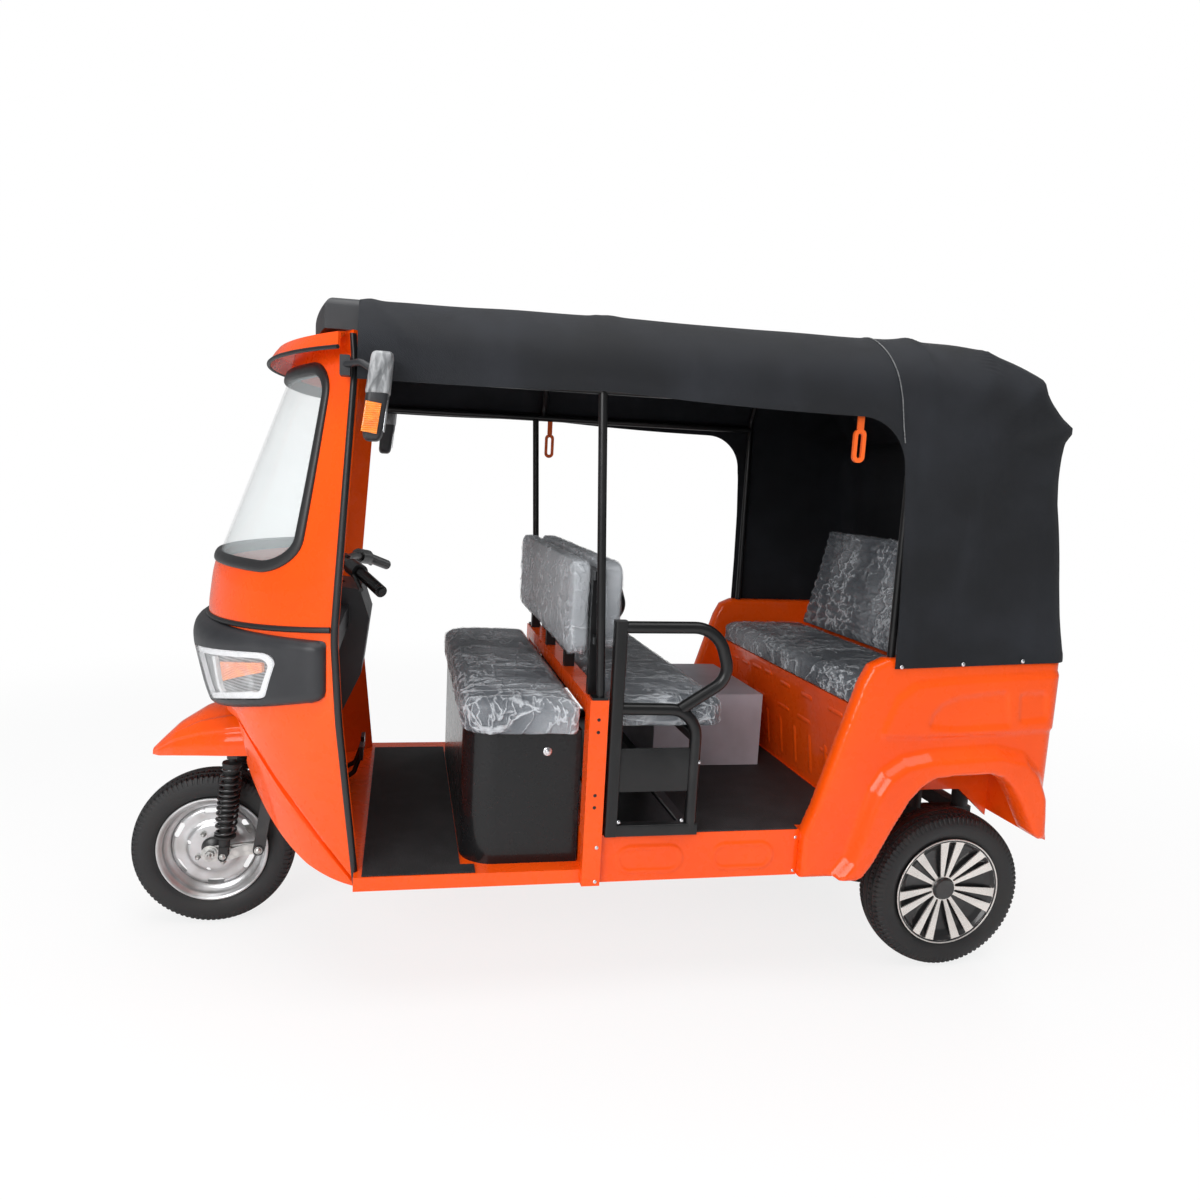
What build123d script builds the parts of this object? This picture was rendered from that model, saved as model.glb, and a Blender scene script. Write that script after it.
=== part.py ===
"""Three-wheeled auto rickshaw, in millimetres.

Frame: the vehicle faces -X, its left side is -Y, +Z is up and Z = 0 is the ground under the
tyres.  X = 0 lies halfway between the front tyre's nose and the canopy's rear hem.
"""
import os
from math import cos, radians, sin

from build123d import *

os.makedirs("parts", exist_ok=True)

# ---------------------------------------------------------------- driving dimensions
WHEELBASE = 2220
FRONT_AXLE_X = -WHEELBASE / 2
REAR_AXLE_X = WHEELBASE / 2
REAR_WHEEL_Y = 470              # half track of the rear wheels
RUN = 0.1                       # radial clearance of shafts that turn
SEAT = 0.3                      # gap under soft pieces that rest on something

TYRE_R = 246
TYRE_W = 112
BEAD_R = 152                    # bead seat of a 12-inch rim
FLANGE_R = 166
RIM_WALL = 4
AXLE_R = 10                     # front axle
SPINDLE_R = 17                  # rear axle ends

RAKE = 20                       # steering axis, degrees back from vertical
FORK_OFFSET = 44                # wheel centre ahead of the steering axis
BODY_HALF = 610                 # rear body, outer face of its sides
SIDE_WALL = 55                  # rear body side, whole wall
BODY_REAR_X = 1343
BODY_TOP_Z = 985
SILL_HALF = 575
SILL_BOTTOM_Z = 350
FLOOR_Z = 388                   # driver's floor, top
DECK_Z = 485                    # passenger floor, top
FLOOR_FRONT_X = -656
STEP_X = -50                    # where the passenger floor starts
SIDE_SEAM_X = 577               # sill meets the rear body side
TUB_X = 790                     # foot of the rear seat base

CAB_WALL = 14
DASH_Z = 1040                   # top of the dashboard shelf
CAB_BOTTOM_Z = 330
CAB_TOP_Z = 1770

SEAT_TOP_Z = 765                # carries the two front cushions
CUSHION_T = 84
POST_X = -22                    # foot of the middle posts
POST_Y = SILL_HALF + 5
POST_LEAN = 34                  # how far their tops stand forward
HEM_Z = 1652                    # lower edge of the canopy over the doors
CANVAS = 6
ROOF_Z = 1893                   # crown of the canopy
CANOPY_HALF = 592
CANOPY_FRONT_X = -660
CANOPY_REAR_X = 1356

# ---------------------------------------------------------------- shared shapes
head_x = FRONT_AXLE_X + FORK_OFFSET / cos(radians(RAKE))
steer = Plane(
    origin=(head_x, 0, TYRE_R),
    x_dir=(cos(radians(RAKE)), 0, -sin(radians(RAKE))),
    z_dir=(sin(radians(RAKE)), 0, cos(radians(RAKE))),
)

# cab outline by height: z, nose x on the centre line, rear edge x, half width
CAB_SECTIONS = [
    (CAB_BOTTOM_Z, -960, -645, 535),
    (600, -1030, -672, 552),
    (800, -1088, -692, 562),
    (1020, -1112, -705, 566),
    (1150, -1095, -697, 565),
    (1690, -885, -665, 552),
    (CAB_TOP_Z, -862, -672, 545),
]


def cab_volume(inset, open_back=0, lower_top=0, swell=0):
    """Closed volume of the cab, its bowed front and sides moved in by inset; the nose may swell above the lamps."""
    with BuildPart() as volume:
        for z, nose, back, half in CAB_SECTIONS:
            nose -= swell * min(1, max(0, (z - 740) / 280))
            height = z - lower_top if z == CAB_TOP_Z else z
            with BuildSketch(Plane.XY.offset(height)):
                with BuildLine():
                    ThreePointArc(
                        (back + open_back, -half + inset), (nose + inset, 0), (back + open_back, half - inset)
                    )
                    Line((back + open_back, half - inset), (back + open_back, -half + inset))
                make_face()
        loft(ruled=True)
    return volume.part


def front_prism(half_low, half_high, low, high, radius, x_from=-1300, x_to=-700, middle=0):
    """Prism along X with a rounded trapezium outline, seen from the front."""
    with BuildPart() as prism:
        with BuildSketch(Plane.YZ.offset(x_from)) as outline:
            with BuildLine():
                Polyline(
                    (middle - half_low, low),
                    (middle + half_low, low),
                    (middle + half_high, high),
                    (middle - half_high, high),
                    close=True,
                )
            make_face()
            fillet(outline.vertices(), radius)
        extrude(amount=x_to - x_from)
    return prism.part


def rod(start, end, radius):
    """Round bar between two points, added to the open part."""
    a, b = Vector(*start), Vector(*end)
    with Locations(Plane(origin=a, z_dir=b - a)):
        Cylinder(radius, (b - a).length, align=(Align.CENTER, Align.CENTER, Align.MIN))


def cross_rod(x, y_from, y_to, z, radius, mode=Mode.ADD):
    """Round bar or bore along Y."""
    with Locations(Plane(origin=(x, y_from, z), z_dir=(0, 1, 0))):
        Cylinder(radius, y_to - y_from, align=(Align.CENTER, Align.CENTER, Align.MIN), mode=mode)


def bent_tube(points, radius, bend):
    """Tube along a bent centre line, added to the open part."""
    with BuildLine() as path:
        FilletPolyline(*points, radius=bend)
    with BuildSketch(Plane(origin=path.line @ 0, z_dir=path.line % 0)) as ring:
        Circle(radius)
    sweep(ring.sketch, path=path.line)


def block(x, y, z):
    """Box from three (low, high) pairs, added to the open part."""
    with Locations(((x[0] + x[1]) / 2, (y[0] + y[1]) / 2, (z[0] + z[1]) / 2)):
        Box(x[1] - x[0], y[1] - y[0], z[1] - z[0])


def keep(builder, name):
    """Label a finished piece and write its STEP file."""
    builder.part.label = name
    export_step(builder.part, f"parts/{name}.step")


cab_skin = cab_volume(0)
cab_hollow = cab_volume(CAB_WALL, open_back=20, lower_top=CAB_WALL)

# ---------------------------------------------------------------- chassis
RAIL_Y = 300
RAIL_W = 40
RAIL_H = 50
RAIL_FRONT_X = -700
RAIL_REAR_X = 1310
RAIL_LIFT = 85                  # rails rise over the rear axle
rail_low = SILL_BOTTOM_Z - RAIL_H
rail_top_rear = SILL_BOTTOM_Z + RAIL_LIFT
TUB_FLOOR_Z = 520
BODY_MOUNT_X = (900, 1110, 1280)
BODY_MOUNT_R = 26
HEAD_LOW, HEAD_HIGH = 371, 655  # head tube, measured along the steering axis
HEAD_R = 30
STEM_R = 17
SPRING_FRONT_X = 730
SPRING_REAR_X = 1290
EYE_R = 14
EYE_Z = 285
SPRING_W = 50
CHEEK_T = 8

with BuildPart() as chassis_frame:
    for side in (-1, 1):
        with BuildSketch(Plane.XZ.offset(-side * RAIL_Y)):
            with BuildLine():
                Polyline(
                    (RAIL_FRONT_X, rail_low),
                    (640, rail_low),
                    (860, rail_low + RAIL_LIFT),
                    (RAIL_REAR_X, rail_low + RAIL_LIFT),
                    (RAIL_REAR_X, rail_top_rear),
                    (850, rail_top_rear),
                    (630, SILL_BOTTOM_Z),
                    (RAIL_FRONT_X, SILL_BOTTOM_Z),
                    close=True,
                )
            make_face()
        extrude(amount=RAIL_W / 2, both=True)
        # mounts that lift the rear tub off the rail
        with Locations(*[(x, side * RAIL_Y, rail_top_rear) for x in BODY_MOUNT_X]):
            Cylinder(BODY_MOUNT_R, TUB_FLOOR_Z - rail_top_rear, align=(Align.CENTER, Align.CENTER, Align.MIN))
    for x, lift in ((-680, 0), (-30, 0), (560, 0), (900, RAIL_LIFT), (1290, RAIL_LIFT)):
        block((x - 20, x + 20), (-RAIL_Y, RAIL_Y), (rail_low + lift, SILL_BOTTOM_Z + lift))
    with Locations(steer.offset(HEAD_LOW)):
        Cylinder(HEAD_R, HEAD_HIGH - HEAD_LOW, align=(Align.CENTER, Align.CENTER, Align.MIN))
    bent_tube([(-868, 0, 740), (-822, 0, 560), (-806, 0, rail_low + 24), (-690, 0, rail_low + 24)], 22, 45)
    for side in (-1, 1):
        for x, bridge in ((SPRING_FRONT_X, 330), (SPRING_REAR_X, 378)):
            cheek_out = RAIL_Y + SPRING_W / 2 + CHEEK_T
            cheek_in = RAIL_Y - SPRING_W / 2 - CHEEK_T
            block((x - 22, x + 22), sorted((side * cheek_in, side * cheek_out)), (bridge, bridge + 12))
            for y in (cheek_in, cheek_out - CHEEK_T):
                block((x - 22, x + 22), sorted((side * y, side * (y + CHEEK_T))), (EYE_Z - 22, bridge + 12))
    with Locations(steer.offset(HEAD_LOW - 40)):
        Cylinder(
            STEM_R + RUN, HEAD_HIGH - HEAD_LOW + 80,
            align=(Align.CENTER, Align.CENTER, Align.MIN), mode=Mode.SUBTRACT,
        )
keep(chassis_frame, "chassis_frame")

# ---------------------------------------------------------------- floor
FLOOR_T = SILL_T = 20
FLOOR_NOSE_X = -742

with BuildPart() as floor_nose:
    block((FLOOR_NOSE_X, FLOOR_FRONT_X + 8), (-SILL_HALF, SILL_HALF), (SILL_BOTTOM_Z, FLOOR_Z))
    add(cab_hollow, mode=Mode.INTERSECT)

with BuildPart() as floor_pan:
    block((FLOOR_FRONT_X, STEP_X), (-SILL_HALF, SILL_HALF), (SILL_BOTTOM_Z, FLOOR_Z))
    block((STEP_X, STEP_X + SILL_T), (-SILL_HALF, SILL_HALF), (SILL_BOTTOM_Z, DECK_Z))
    block((STEP_X, SIDE_SEAM_X), (-SILL_HALF, SILL_HALF), (DECK_Z - FLOOR_T, DECK_Z))
    block((SIDE_SEAM_X, TUB_X), (-BODY_HALF + SIDE_WALL, BODY_HALF - SIDE_WALL), (DECK_Z - FLOOR_T, DECK_Z))
    for side in (-1, 1):
        sill_y = sorted((side * (SILL_HALF - SILL_T), side * SILL_HALF))
        block((STEP_X, SIDE_SEAM_X), sill_y, (SILL_BOTTOM_Z, DECK_Z))
    add(cab_skin, mode=Mode.SUBTRACT)
    add(floor_nose.part)
keep(floor_pan, "floor_pan")

BEAM_X = (-53, -3)
BOX_X = (-374, BEAM_X[0] - 2)   # the driver's seat box
BOX_NEAR_Y = -522
BOX_FAR_Y = 500

MAT_T = 4
MAT_EDGE = 4                    # kept back from the sill's edge
MAT_FRONT_X = -634
MAT_REAR_X = 268
MAT_WALL_GAP = 10               # from the rear body sides
driver_mat_z = (FLOOR_Z + SEAT, FLOOR_Z + SEAT + MAT_T)
deck_mat_z = (DECK_Z + SEAT, DECK_Z + SEAT + MAT_T)
mat_break = SIDE_SEAM_X - 6
with BuildPart() as floor_mats:
    block((MAT_FRONT_X, BOX_X[0] - 2), (-SILL_HALF + MAT_EDGE, BOX_FAR_Y + 5), driver_mat_z)
    block((BOX_X[0] - 3, BOX_X[0] + 36), (-SILL_HALF + MAT_EDGE, BOX_NEAR_Y - 2), driver_mat_z)
    block((MAT_REAR_X, mat_break), (-SILL_HALF, SILL_HALF - MAT_EDGE), deck_mat_z)
    tub_edge = BODY_HALF - SIDE_WALL - MAT_WALL_GAP
    block((mat_break, TUB_X - 12), (-tub_edge, tub_edge), deck_mat_z)
keep(floor_mats, "floor_mats")

# ---------------------------------------------------------------- cab
SCREEN_LOW, SCREEN_HIGH = 1165, 1702
SEAL_W = 28
LAMP_CORNERS = ((160, 928), (500, 970), (462, 841), (190, 775))     # y from the centre line, z
BAND_T = 30
BAND_SWELL = 22                 # the band stands out further over the nose

seal_hole = front_prism(516, 488, SCREEN_LOW, SCREEN_HIGH, 90)
glass_hole = front_prism(516 - SEAL_W, 488 - SEAL_W, SCREEN_LOW + SEAL_W, SCREEN_HIGH - SEAL_W, 64)

with BuildPart() as cab_shell:
    add(cab_skin)
    add(cab_hollow, mode=Mode.SUBTRACT)
    add(seal_hole, mode=Mode.SUBTRACT)
    # wheel opening: everything ahead of the swept lower edge
    with BuildSketch(Plane.XZ):
        with BuildLine():
            Polyline((-1300, 742), (-985, 742), (-965, 640))
            ThreePointArc((-965, 640), (-855, 470), (-640, 328))
            Polyline((-640, 328), (-640, 200), (-1300, 200), (-1300, 742))
        make_face()
    extrude(amount=700, both=True, mode=Mode.SUBTRACT)
keep(cab_shell, "cab_shell")

seal_outer = cab_volume(-7)
seal_inner = cab_volume(CAB_WALL + 6)
with BuildPart() as windscreen_seal:
    add(seal_outer)
    add(seal_inner, mode=Mode.SUBTRACT)
    add(seal_hole, mode=Mode.INTERSECT)
    add(glass_hole, mode=Mode.SUBTRACT)
keep(windscreen_seal, "windscreen_seal")

glass_outer = cab_volume(4)
glass_inner = cab_volume(10)
with BuildPart() as windscreen:
    add(glass_outer)
    add(glass_inner, mode=Mode.SUBTRACT)
    add(glass_hole, mode=Mode.INTERSECT)
keep(windscreen, "windscreen")

with BuildPart() as cab_roof_cap:
    with BuildSketch(Plane.XY.offset(CAB_TOP_Z)):
        with BuildLine():
            ThreePointArc((-740, -540), (-802, 0), (-740, 540))
            Polyline((-740, 540), (CANOPY_FRONT_X, 540), (CANOPY_FRONT_X, -540), (-740, -540))
        make_face()
    extrude(amount=76)
    fillet(cab_roof_cap.faces().sort_by(Axis.Z)[-1].edges().sort_by(Axis.X)[:-1], 28)
keep(cab_roof_cap, "cab_roof_cap")

with BuildPart() as cab_visor:
    for z, nose, half in ((1722, -942, 588), (1760, -918, 578)):
        with BuildSketch(Plane.XY.offset(z)):
            with BuildLine():
                ThreePointArc((-705, -half), (nose, 0), (-705, half))
                Line((-705, half), (-705, -half))
            make_face()
    loft(ruled=True)
    add(cab_skin, mode=Mode.SUBTRACT)
keep(cab_visor, "cab_visor")

band_outer = cab_volume(-BAND_T, swell=BAND_SWELL)
lamp_outer = cab_volume(-BAND_T + 4, swell=BAND_SWELL)


def lamp_prism(side, inset, radius):
    """Prism along X with the outline of one headlamp, its four edges moved in."""
    (in_top, out_top, out_low, in_low) = LAMP_CORNERS
    with BuildPart() as prism:
        with BuildSketch(Plane.YZ.offset(-1300)) as outline:
            with BuildLine():
                Polyline(
                    (side * (in_top[0] + inset), in_top[1] - inset), (side * (out_top[0] - inset), out_top[1] - inset),
                    (side * (out_low[0] - inset), out_low[1] + inset), (side * (in_low[0] + inset), in_low[1] + inset),
                    close=True,
                )
            make_face()
            fillet(outline.vertices(), radius)
        extrude(amount=600)
    return prism.part


lamp_holes = [lamp_prism(side, 0, 22) for side in (-1, 1)]
lamp_bodies = [lamp_prism(side, 2, 20) for side in (-1, 1)]
with BuildPart() as lamp_surround:
    add(band_outer)
    add(cab_skin, mode=Mode.SUBTRACT)
    with BuildSketch(Plane.XZ) as band:
        with BuildLine():
            Polyline(
                (-1300, 755), (-1085, 755), (-1000, 778), (-935, 800), (-770, 842), (-734, 862), (-730, 1006),
                (-1300, 1006), close=True,
            )
        make_face()
        fillet(band.vertices().group_by(Axis.X)[-1], 14)
    extrude(amount=700, both=True, mode=Mode.INTERSECT)
    for hole in lamp_holes:
        add(hole, mode=Mode.SUBTRACT)
keep(lamp_surround, "lamp_surround")

with BuildPart() as headlamps:
    add(lamp_outer)
    add(cab_skin, mode=Mode.SUBTRACT)
    add(lamp_bodies, mode=Mode.INTERSECT)
keep(headlamps, "headlamps")

# front mudguard: x, half width, lower edge z, crease z, ridge z
MUDGUARD_SECTIONS = [
    (-1288, 14, 545, 550, 562),
    (-1210, 88, 564, 592, 642),
    (-1130, 132, 577, 614, 694),
    (-1050, 160, 584, 626, 718),
    (-968, 174, 588, 634, 734),
]
MUDGUARD_T = 5


def mudguard_volume(inset):
    """Closed volume under the mudguard's skin."""
    with BuildPart() as volume:
        for x, half, low, crease, ridge in MUDGUARD_SECTIONS:
            with BuildSketch(Plane.YZ.offset(x + inset * (x == MUDGUARD_SECTIONS[0][0]))):
                with BuildLine():
                    w = half - inset
                    ThreePointArc((-w, crease), (0, ridge - inset), (w, crease))
                    Polyline((w, crease), (w, low - inset), (-w, low - inset), (-w, crease))
                make_face()
        loft(ruled=True)
    return volume.part


mudguard_outer = mudguard_volume(0)
mudguard_inner = mudguard_volume(MUDGUARD_T)
with BuildPart() as front_mudguard:
    add(mudguard_outer)
    add(mudguard_inner, mode=Mode.SUBTRACT)
    # stay that bolts the mudguard to the head tube
    block((-990, -918), (-25, 25), (716, 727))
    add(chassis_frame.part, mode=Mode.SUBTRACT)
keep(front_mudguard, "front_mudguard")

APRON_FOOT_X, APRON_TOP_X, APRON_T = -742, -835, 12
with BuildPart() as cab_apron:
    with BuildSketch(Plane.XZ):
        with BuildLine():
            Polyline(
                (APRON_FOOT_X, FLOOR_Z),
                (APRON_TOP_X, DASH_Z - 60),
                (APRON_TOP_X - APRON_T, DASH_Z - 60),
                (APRON_FOOT_X - APRON_T, FLOOR_Z - 2),
                (APRON_FOOT_X - APRON_T, SILL_BOTTOM_Z),
                (FLOOR_NOSE_X, SILL_BOTTOM_Z),
                close=True,
            )
        make_face()
    extrude(amount=600, both=True)
    add(cab_hollow, mode=Mode.INTERSECT)
    with Locations(steer.offset(500)):
        Cylinder(42, 500, mode=Mode.SUBTRACT, align=(Align.CENTER, Align.CENTER, Align.MIN))
    add(chassis_frame.part, mode=Mode.SUBTRACT)
keep(cab_apron, "cab_apron")

SHROUD_HALF = 140
with BuildPart() as dashboard:
    block((-1200, -700), (-600, 600), (DASH_Z - 60, DASH_Z))
    add(cab_hollow, mode=Mode.INTERSECT)
    with BuildSketch(Plane.XZ):
        with BuildLine():
            Polyline(
                (-790, DASH_Z), (-780, 1098), (-668, 1086), (-640, 1000), (-662, 830), (-738, 668), (-768, 668),
                (-768, 980), (-790, 980), close=True,
            )
        make_face()
    extrude(amount=SHROUD_HALF, both=True)
    with Locations(steer.offset(600)):
        Cylinder(34, 500, mode=Mode.SUBTRACT, align=(Align.CENTER, Align.CENTER, Align.MIN))
keep(dashboard, "dashboard")

with BuildPart() as foot_pedals:
    for y in (60, 170):
        block((-672, -660), (y - 30, y + 30), (500, 545))
        bent_tube([(-728, y, FLOOR_Z + 40), (-690, y, 450), (-666, y, 520)], 8, 20)
        block((-742, -720), (y - 20, y + 20), (FLOOR_Z, FLOOR_Z + 60))
keep(foot_pedals, "foot_pedals")

MIRROR_Y = 655
with BuildPart() as mirrors:
    for side in (-1, 1):
        block((-700, -672), sorted((side * 530, side * 598)), (1655, 1705))
        bent_tube([(-686, side * 590, 1682), (-650, side * 640, 1690), (-612, side * MIRROR_Y, 1660)], 8, 12)
        with BuildSketch(Plane.XZ.offset(-side * MIRROR_Y)) as head:
            with BuildLine():
                Polyline((-648, 1512), (-598, 1500), (-572, 1700), (-620, 1704), close=True)
            make_face()
            fillet(head.vertices(), 14)
        extrude(amount=56, both=True)
    add(cab_skin, mode=Mode.SUBTRACT)
keep(mirrors, "mirrors")

# ---------------------------------------------------------------- driver's bench
BEAM_TOP_Z = 866
BEAM_H = 46
BOX_CORNER = 90                 # front corners of the box and its cushion

with BuildPart() as seat_box:
    with BuildSketch(Plane.XY.offset(FLOOR_Z)) as plan:
        with Locations(((BOX_X[0] + BOX_X[1]) / 2, (BOX_NEAR_Y + BOX_FAR_Y) / 2)):
            Rectangle(BOX_X[1] - BOX_X[0], BOX_FAR_Y - BOX_NEAR_Y)
        fillet(plan.vertices().group_by(Axis.X)[0], BOX_CORNER)
    extrude(amount=SEAT_TOP_Z - FLOOR_Z)
keep(seat_box, "seat_box")

DRIVER_SEAT_X = (BOX_X[0] - 15, BEAM_X[0] - 14)
DRIVER_SEAT_Y = (BOX_NEAR_Y - 54, BOX_FAR_Y + 60)
with BuildPart() as driver_cushion:
    with BuildSketch(Plane.XY.offset(SEAT_TOP_Z + SEAT)) as plan:
        with Locations(((DRIVER_SEAT_X[0] + DRIVER_SEAT_X[1]) / 2, (DRIVER_SEAT_Y[0] + DRIVER_SEAT_Y[1]) / 2)):
            Rectangle(DRIVER_SEAT_X[1] - DRIVER_SEAT_X[0], DRIVER_SEAT_Y[1] - DRIVER_SEAT_Y[0])
        fillet(plan.vertices().group_by(Axis.X)[0], BOX_CORNER)
        fillet(plan.vertices().group_by(Axis.X)[-1], 18)
    extrude(amount=CUSHION_T)
    fillet(driver_cushion.faces().sort_by(Axis.Z)[-1].edges(), 14)
keep(driver_cushion, "driver_cushion")

with BuildPart() as seat_beam:
    block(BEAM_X, (-POST_Y, POST_Y), (BEAM_TOP_Z - BEAM_H, BEAM_TOP_Z))
    for side in (-1, 1):
        block(BEAM_X, sorted((side * SILL_HALF, side * (SILL_HALF + 22))), (SILL_BOTTOM_Z, BEAM_TOP_Z))
        block(BEAM_X, sorted((side * 540, side * SILL_HALF)), (DECK_Z, BEAM_TOP_Z))
keep(seat_beam, "seat_beam")

# ---------------------------------------------------------------- posts and roof frame
TUBE_R = 12.5
RAIL_TOP_Z = HEM_Z + 14
FRAME_Y = CANOPY_HALF - CANVAS - TUBE_R - 4
REAR_POST_X = 812
POST_FOOT_Z = (BEAM_TOP_Z, BEAM_TOP_Z + 6)


def bow(x, z_side, z_top):
    """Hoop across the roof, inside the canvas."""
    left = [(x, -FRAME_Y, z_side), (x, -FRAME_Y, 1700), (x, -FRAME_Y + 48, 1785), (x, -410, z_top - 18)]
    right = [(x, -y, z) for x, y, z in reversed(left)]
    bent_tube(left + [(x, 0, z_top)] + right, TUBE_R - 1.5, 40)


with BuildPart() as roof_frame:
    for side in (-1, 1):
        post_top = (POST_X - POST_LEAN, side * FRAME_Y, RAIL_TOP_Z)
        rod((POST_X, side * (POST_Y - 6), BEAM_TOP_Z + 3), post_top, TUBE_R - 1)
        block((BEAM_X[0] + 6, BEAM_X[1] - 3), sorted((side * (POST_Y - 28), side * (POST_Y + 16))), POST_FOOT_Z)
        rod((CANOPY_FRONT_X, side * FRAME_Y, RAIL_TOP_Z), (REAR_POST_X, side * FRAME_Y, RAIL_TOP_Z), TUBE_R)
    bow(-640, RAIL_TOP_Z, 1826)
    bow(POST_X - POST_LEAN + 30, RAIL_TOP_Z, 1856)
    bow(REAR_POST_X, BODY_TOP_Z, 1862)
keep(roof_frame, "roof_frame")

UPRIGHT_X = (POST_X - 26, POST_X + 6)
BACKREST_T = 46
BACKREST_TOP_Z = 1228
RUNG_Z = (1020, 1190)
RUNG_HALF = 12                  # square bar, half its width
RUNG_END = POST_Y - 25
UPRIGHT_Y = (170, POST_Y - 60)

with BuildPart() as backrest_frame:
    for z in RUNG_Z:
        lean = POST_LEAN * (z - BEAM_TOP_Z) / (RAIL_TOP_Z - BEAM_TOP_Z)
        rung_x = POST_X - lean
        block((rung_x - RUNG_HALF, rung_x + RUNG_HALF), (-RUNG_END, RUNG_END), (z - RUNG_HALF, z + RUNG_HALF))
    for y in UPRIGHT_Y:
        for at in (-y, y):
            block(UPRIGHT_X, (at - RUNG_HALF, at + RUNG_HALF), (BEAM_TOP_Z, RUNG_Z[1] + RUNG_HALF))
    for side in (-1, 1):
        ear_y = sorted((side * (RUNG_END - 5), side * (RUNG_END + 11.5)))
        for z in RUNG_Z:
            block((POST_X - 23, POST_X - 6), ear_y, (z - 10, z + 10))
    add(roof_frame.part, mode=Mode.SUBTRACT)
keep(backrest_frame, "backrest_frame")

with BuildPart() as bench_backrests:
    for face_x, half, low in (
        (UPRIGHT_X[0] - SEAT - BACKREST_T, 505, 962),
        (UPRIGHT_X[1] + SEAT, 540, 985),
    ):
        with BuildSketch(Plane.YZ.offset(face_x)) as outline:
            with Locations((0, (low + BACKREST_TOP_Z) / 2)):
                Rectangle(2 * half, BACKREST_TOP_Z - low)
            fillet(outline.vertices(), 40)
        extrude(amount=BACKREST_T)
keep(bench_backrests, "bench_backrests")

# ---------------------------------------------------------------- middle, rear-facing bench
GUARD_Y = SILL_HALF + 5
GUARD_R = 17
GUARD_X = (22, 248)
MIDDLE_Z = 775
MIDDLE_SEAT_X = (7.5, 352.5)

with BuildPart() as middle_seat_frame:
    for side in (-1, 1):
        y = side * GUARD_Y
        bent_tube(
            [
                (GUARD_X[0], y, DECK_Z + 14),
                (GUARD_X[0], y, 1058),
                (GUARD_X[1] + 4, y, 1060),
                (316, y, 985),
                (226, y, 862),
            ],
            GUARD_R,
            16,
        )
        bent_tube(
            [(GUARD_X[0], y, 836), (GUARD_X[1], y, 836), (GUARD_X[1], y, DECK_Z + 14)],
            GUARD_R,
            58,
        )
        block((GUARD_X[0] - 17, GUARD_X[1] + 17), (y - 14, y + 14), (DECK_Z, DECK_Z + 30))
        block(GUARD_X, (y - 4, y + 4), (608, 728))
    for x in (GUARD_X[0], GUARD_X[1]):
        block((x - 14, x + 14), (-GUARD_Y, GUARD_Y), (MIDDLE_Z - 28, MIDDLE_Z))
keep(middle_seat_frame, "middle_seat_frame")

with BuildPart() as middle_cushion:
    with BuildSketch(Plane.XY.offset(MIDDLE_Z + SEAT)) as plan:
        with Locations(((MIDDLE_SEAT_X[0] + MIDDLE_SEAT_X[1]) / 2, 0)):
            Rectangle(MIDDLE_SEAT_X[1] - MIDDLE_SEAT_X[0], 2 * (GUARD_Y - 40))
        fillet(plan.vertices().group_by(Axis.X)[-1], 50)
    extrude(amount=72)
    fillet(middle_cushion.faces().sort_by(Axis.Z)[-1].edges(), 12)
keep(middle_cushion, "middle_cushion")

BATTERY_X, BATTERY_Y, BATTERY_TOP_Z = (300, 680), (-35, 450), 738
with BuildPart() as battery_box:
    block(BATTERY_X, BATTERY_Y, (deck_mat_z[1], BATTERY_TOP_Z))
keep(battery_box, "battery_box")

# ---------------------------------------------------------------- rear body
SEAT_DECK_Z = 826
TUB_HALF = BODY_HALF - SIDE_WALL
WHEELHOUSE_Y = 385
TUB_T = 12
PANEL_T = 30
PLATE_PITCH_Y, PLATE_PITCH_Z = 220, 120     # number plate holes
PLATE_HOLE_R = 3.5
PLATE_HOLES_Z = 620

# body side outline: x, z, starting at the sill seam
ARCH_LOW_X, ARCH_REAR_X = 745, 1306


with BuildSketch(Plane.XZ) as side_outline:
    with BuildLine():
        Polyline(
            (SIDE_SEAM_X, SILL_BOTTOM_Z),
            (SIDE_SEAM_X, DECK_Z),
            (608, 552),
            (712, 905),
        )
        ThreePointArc((712, 905), (736, 958), (784, BODY_TOP_Z))
        Polyline(
            (784, BODY_TOP_Z),
            (BODY_REAR_X, BODY_TOP_Z),
            (BODY_REAR_X, 452),
            (ARCH_REAR_X, 452),
            (1212, 600),
        )
        ThreePointArc((1212, 600), (1181, 638), (1130, 657))
        Line((1130, 657), (960, 652))
        ThreePointArc((960, 652), (908, 628), (874, 584))
        Polyline((874, 584), (ARCH_LOW_X, SILL_BOTTOM_Z), (SIDE_SEAM_X, SILL_BOTTOM_Z))
    make_face()


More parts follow.
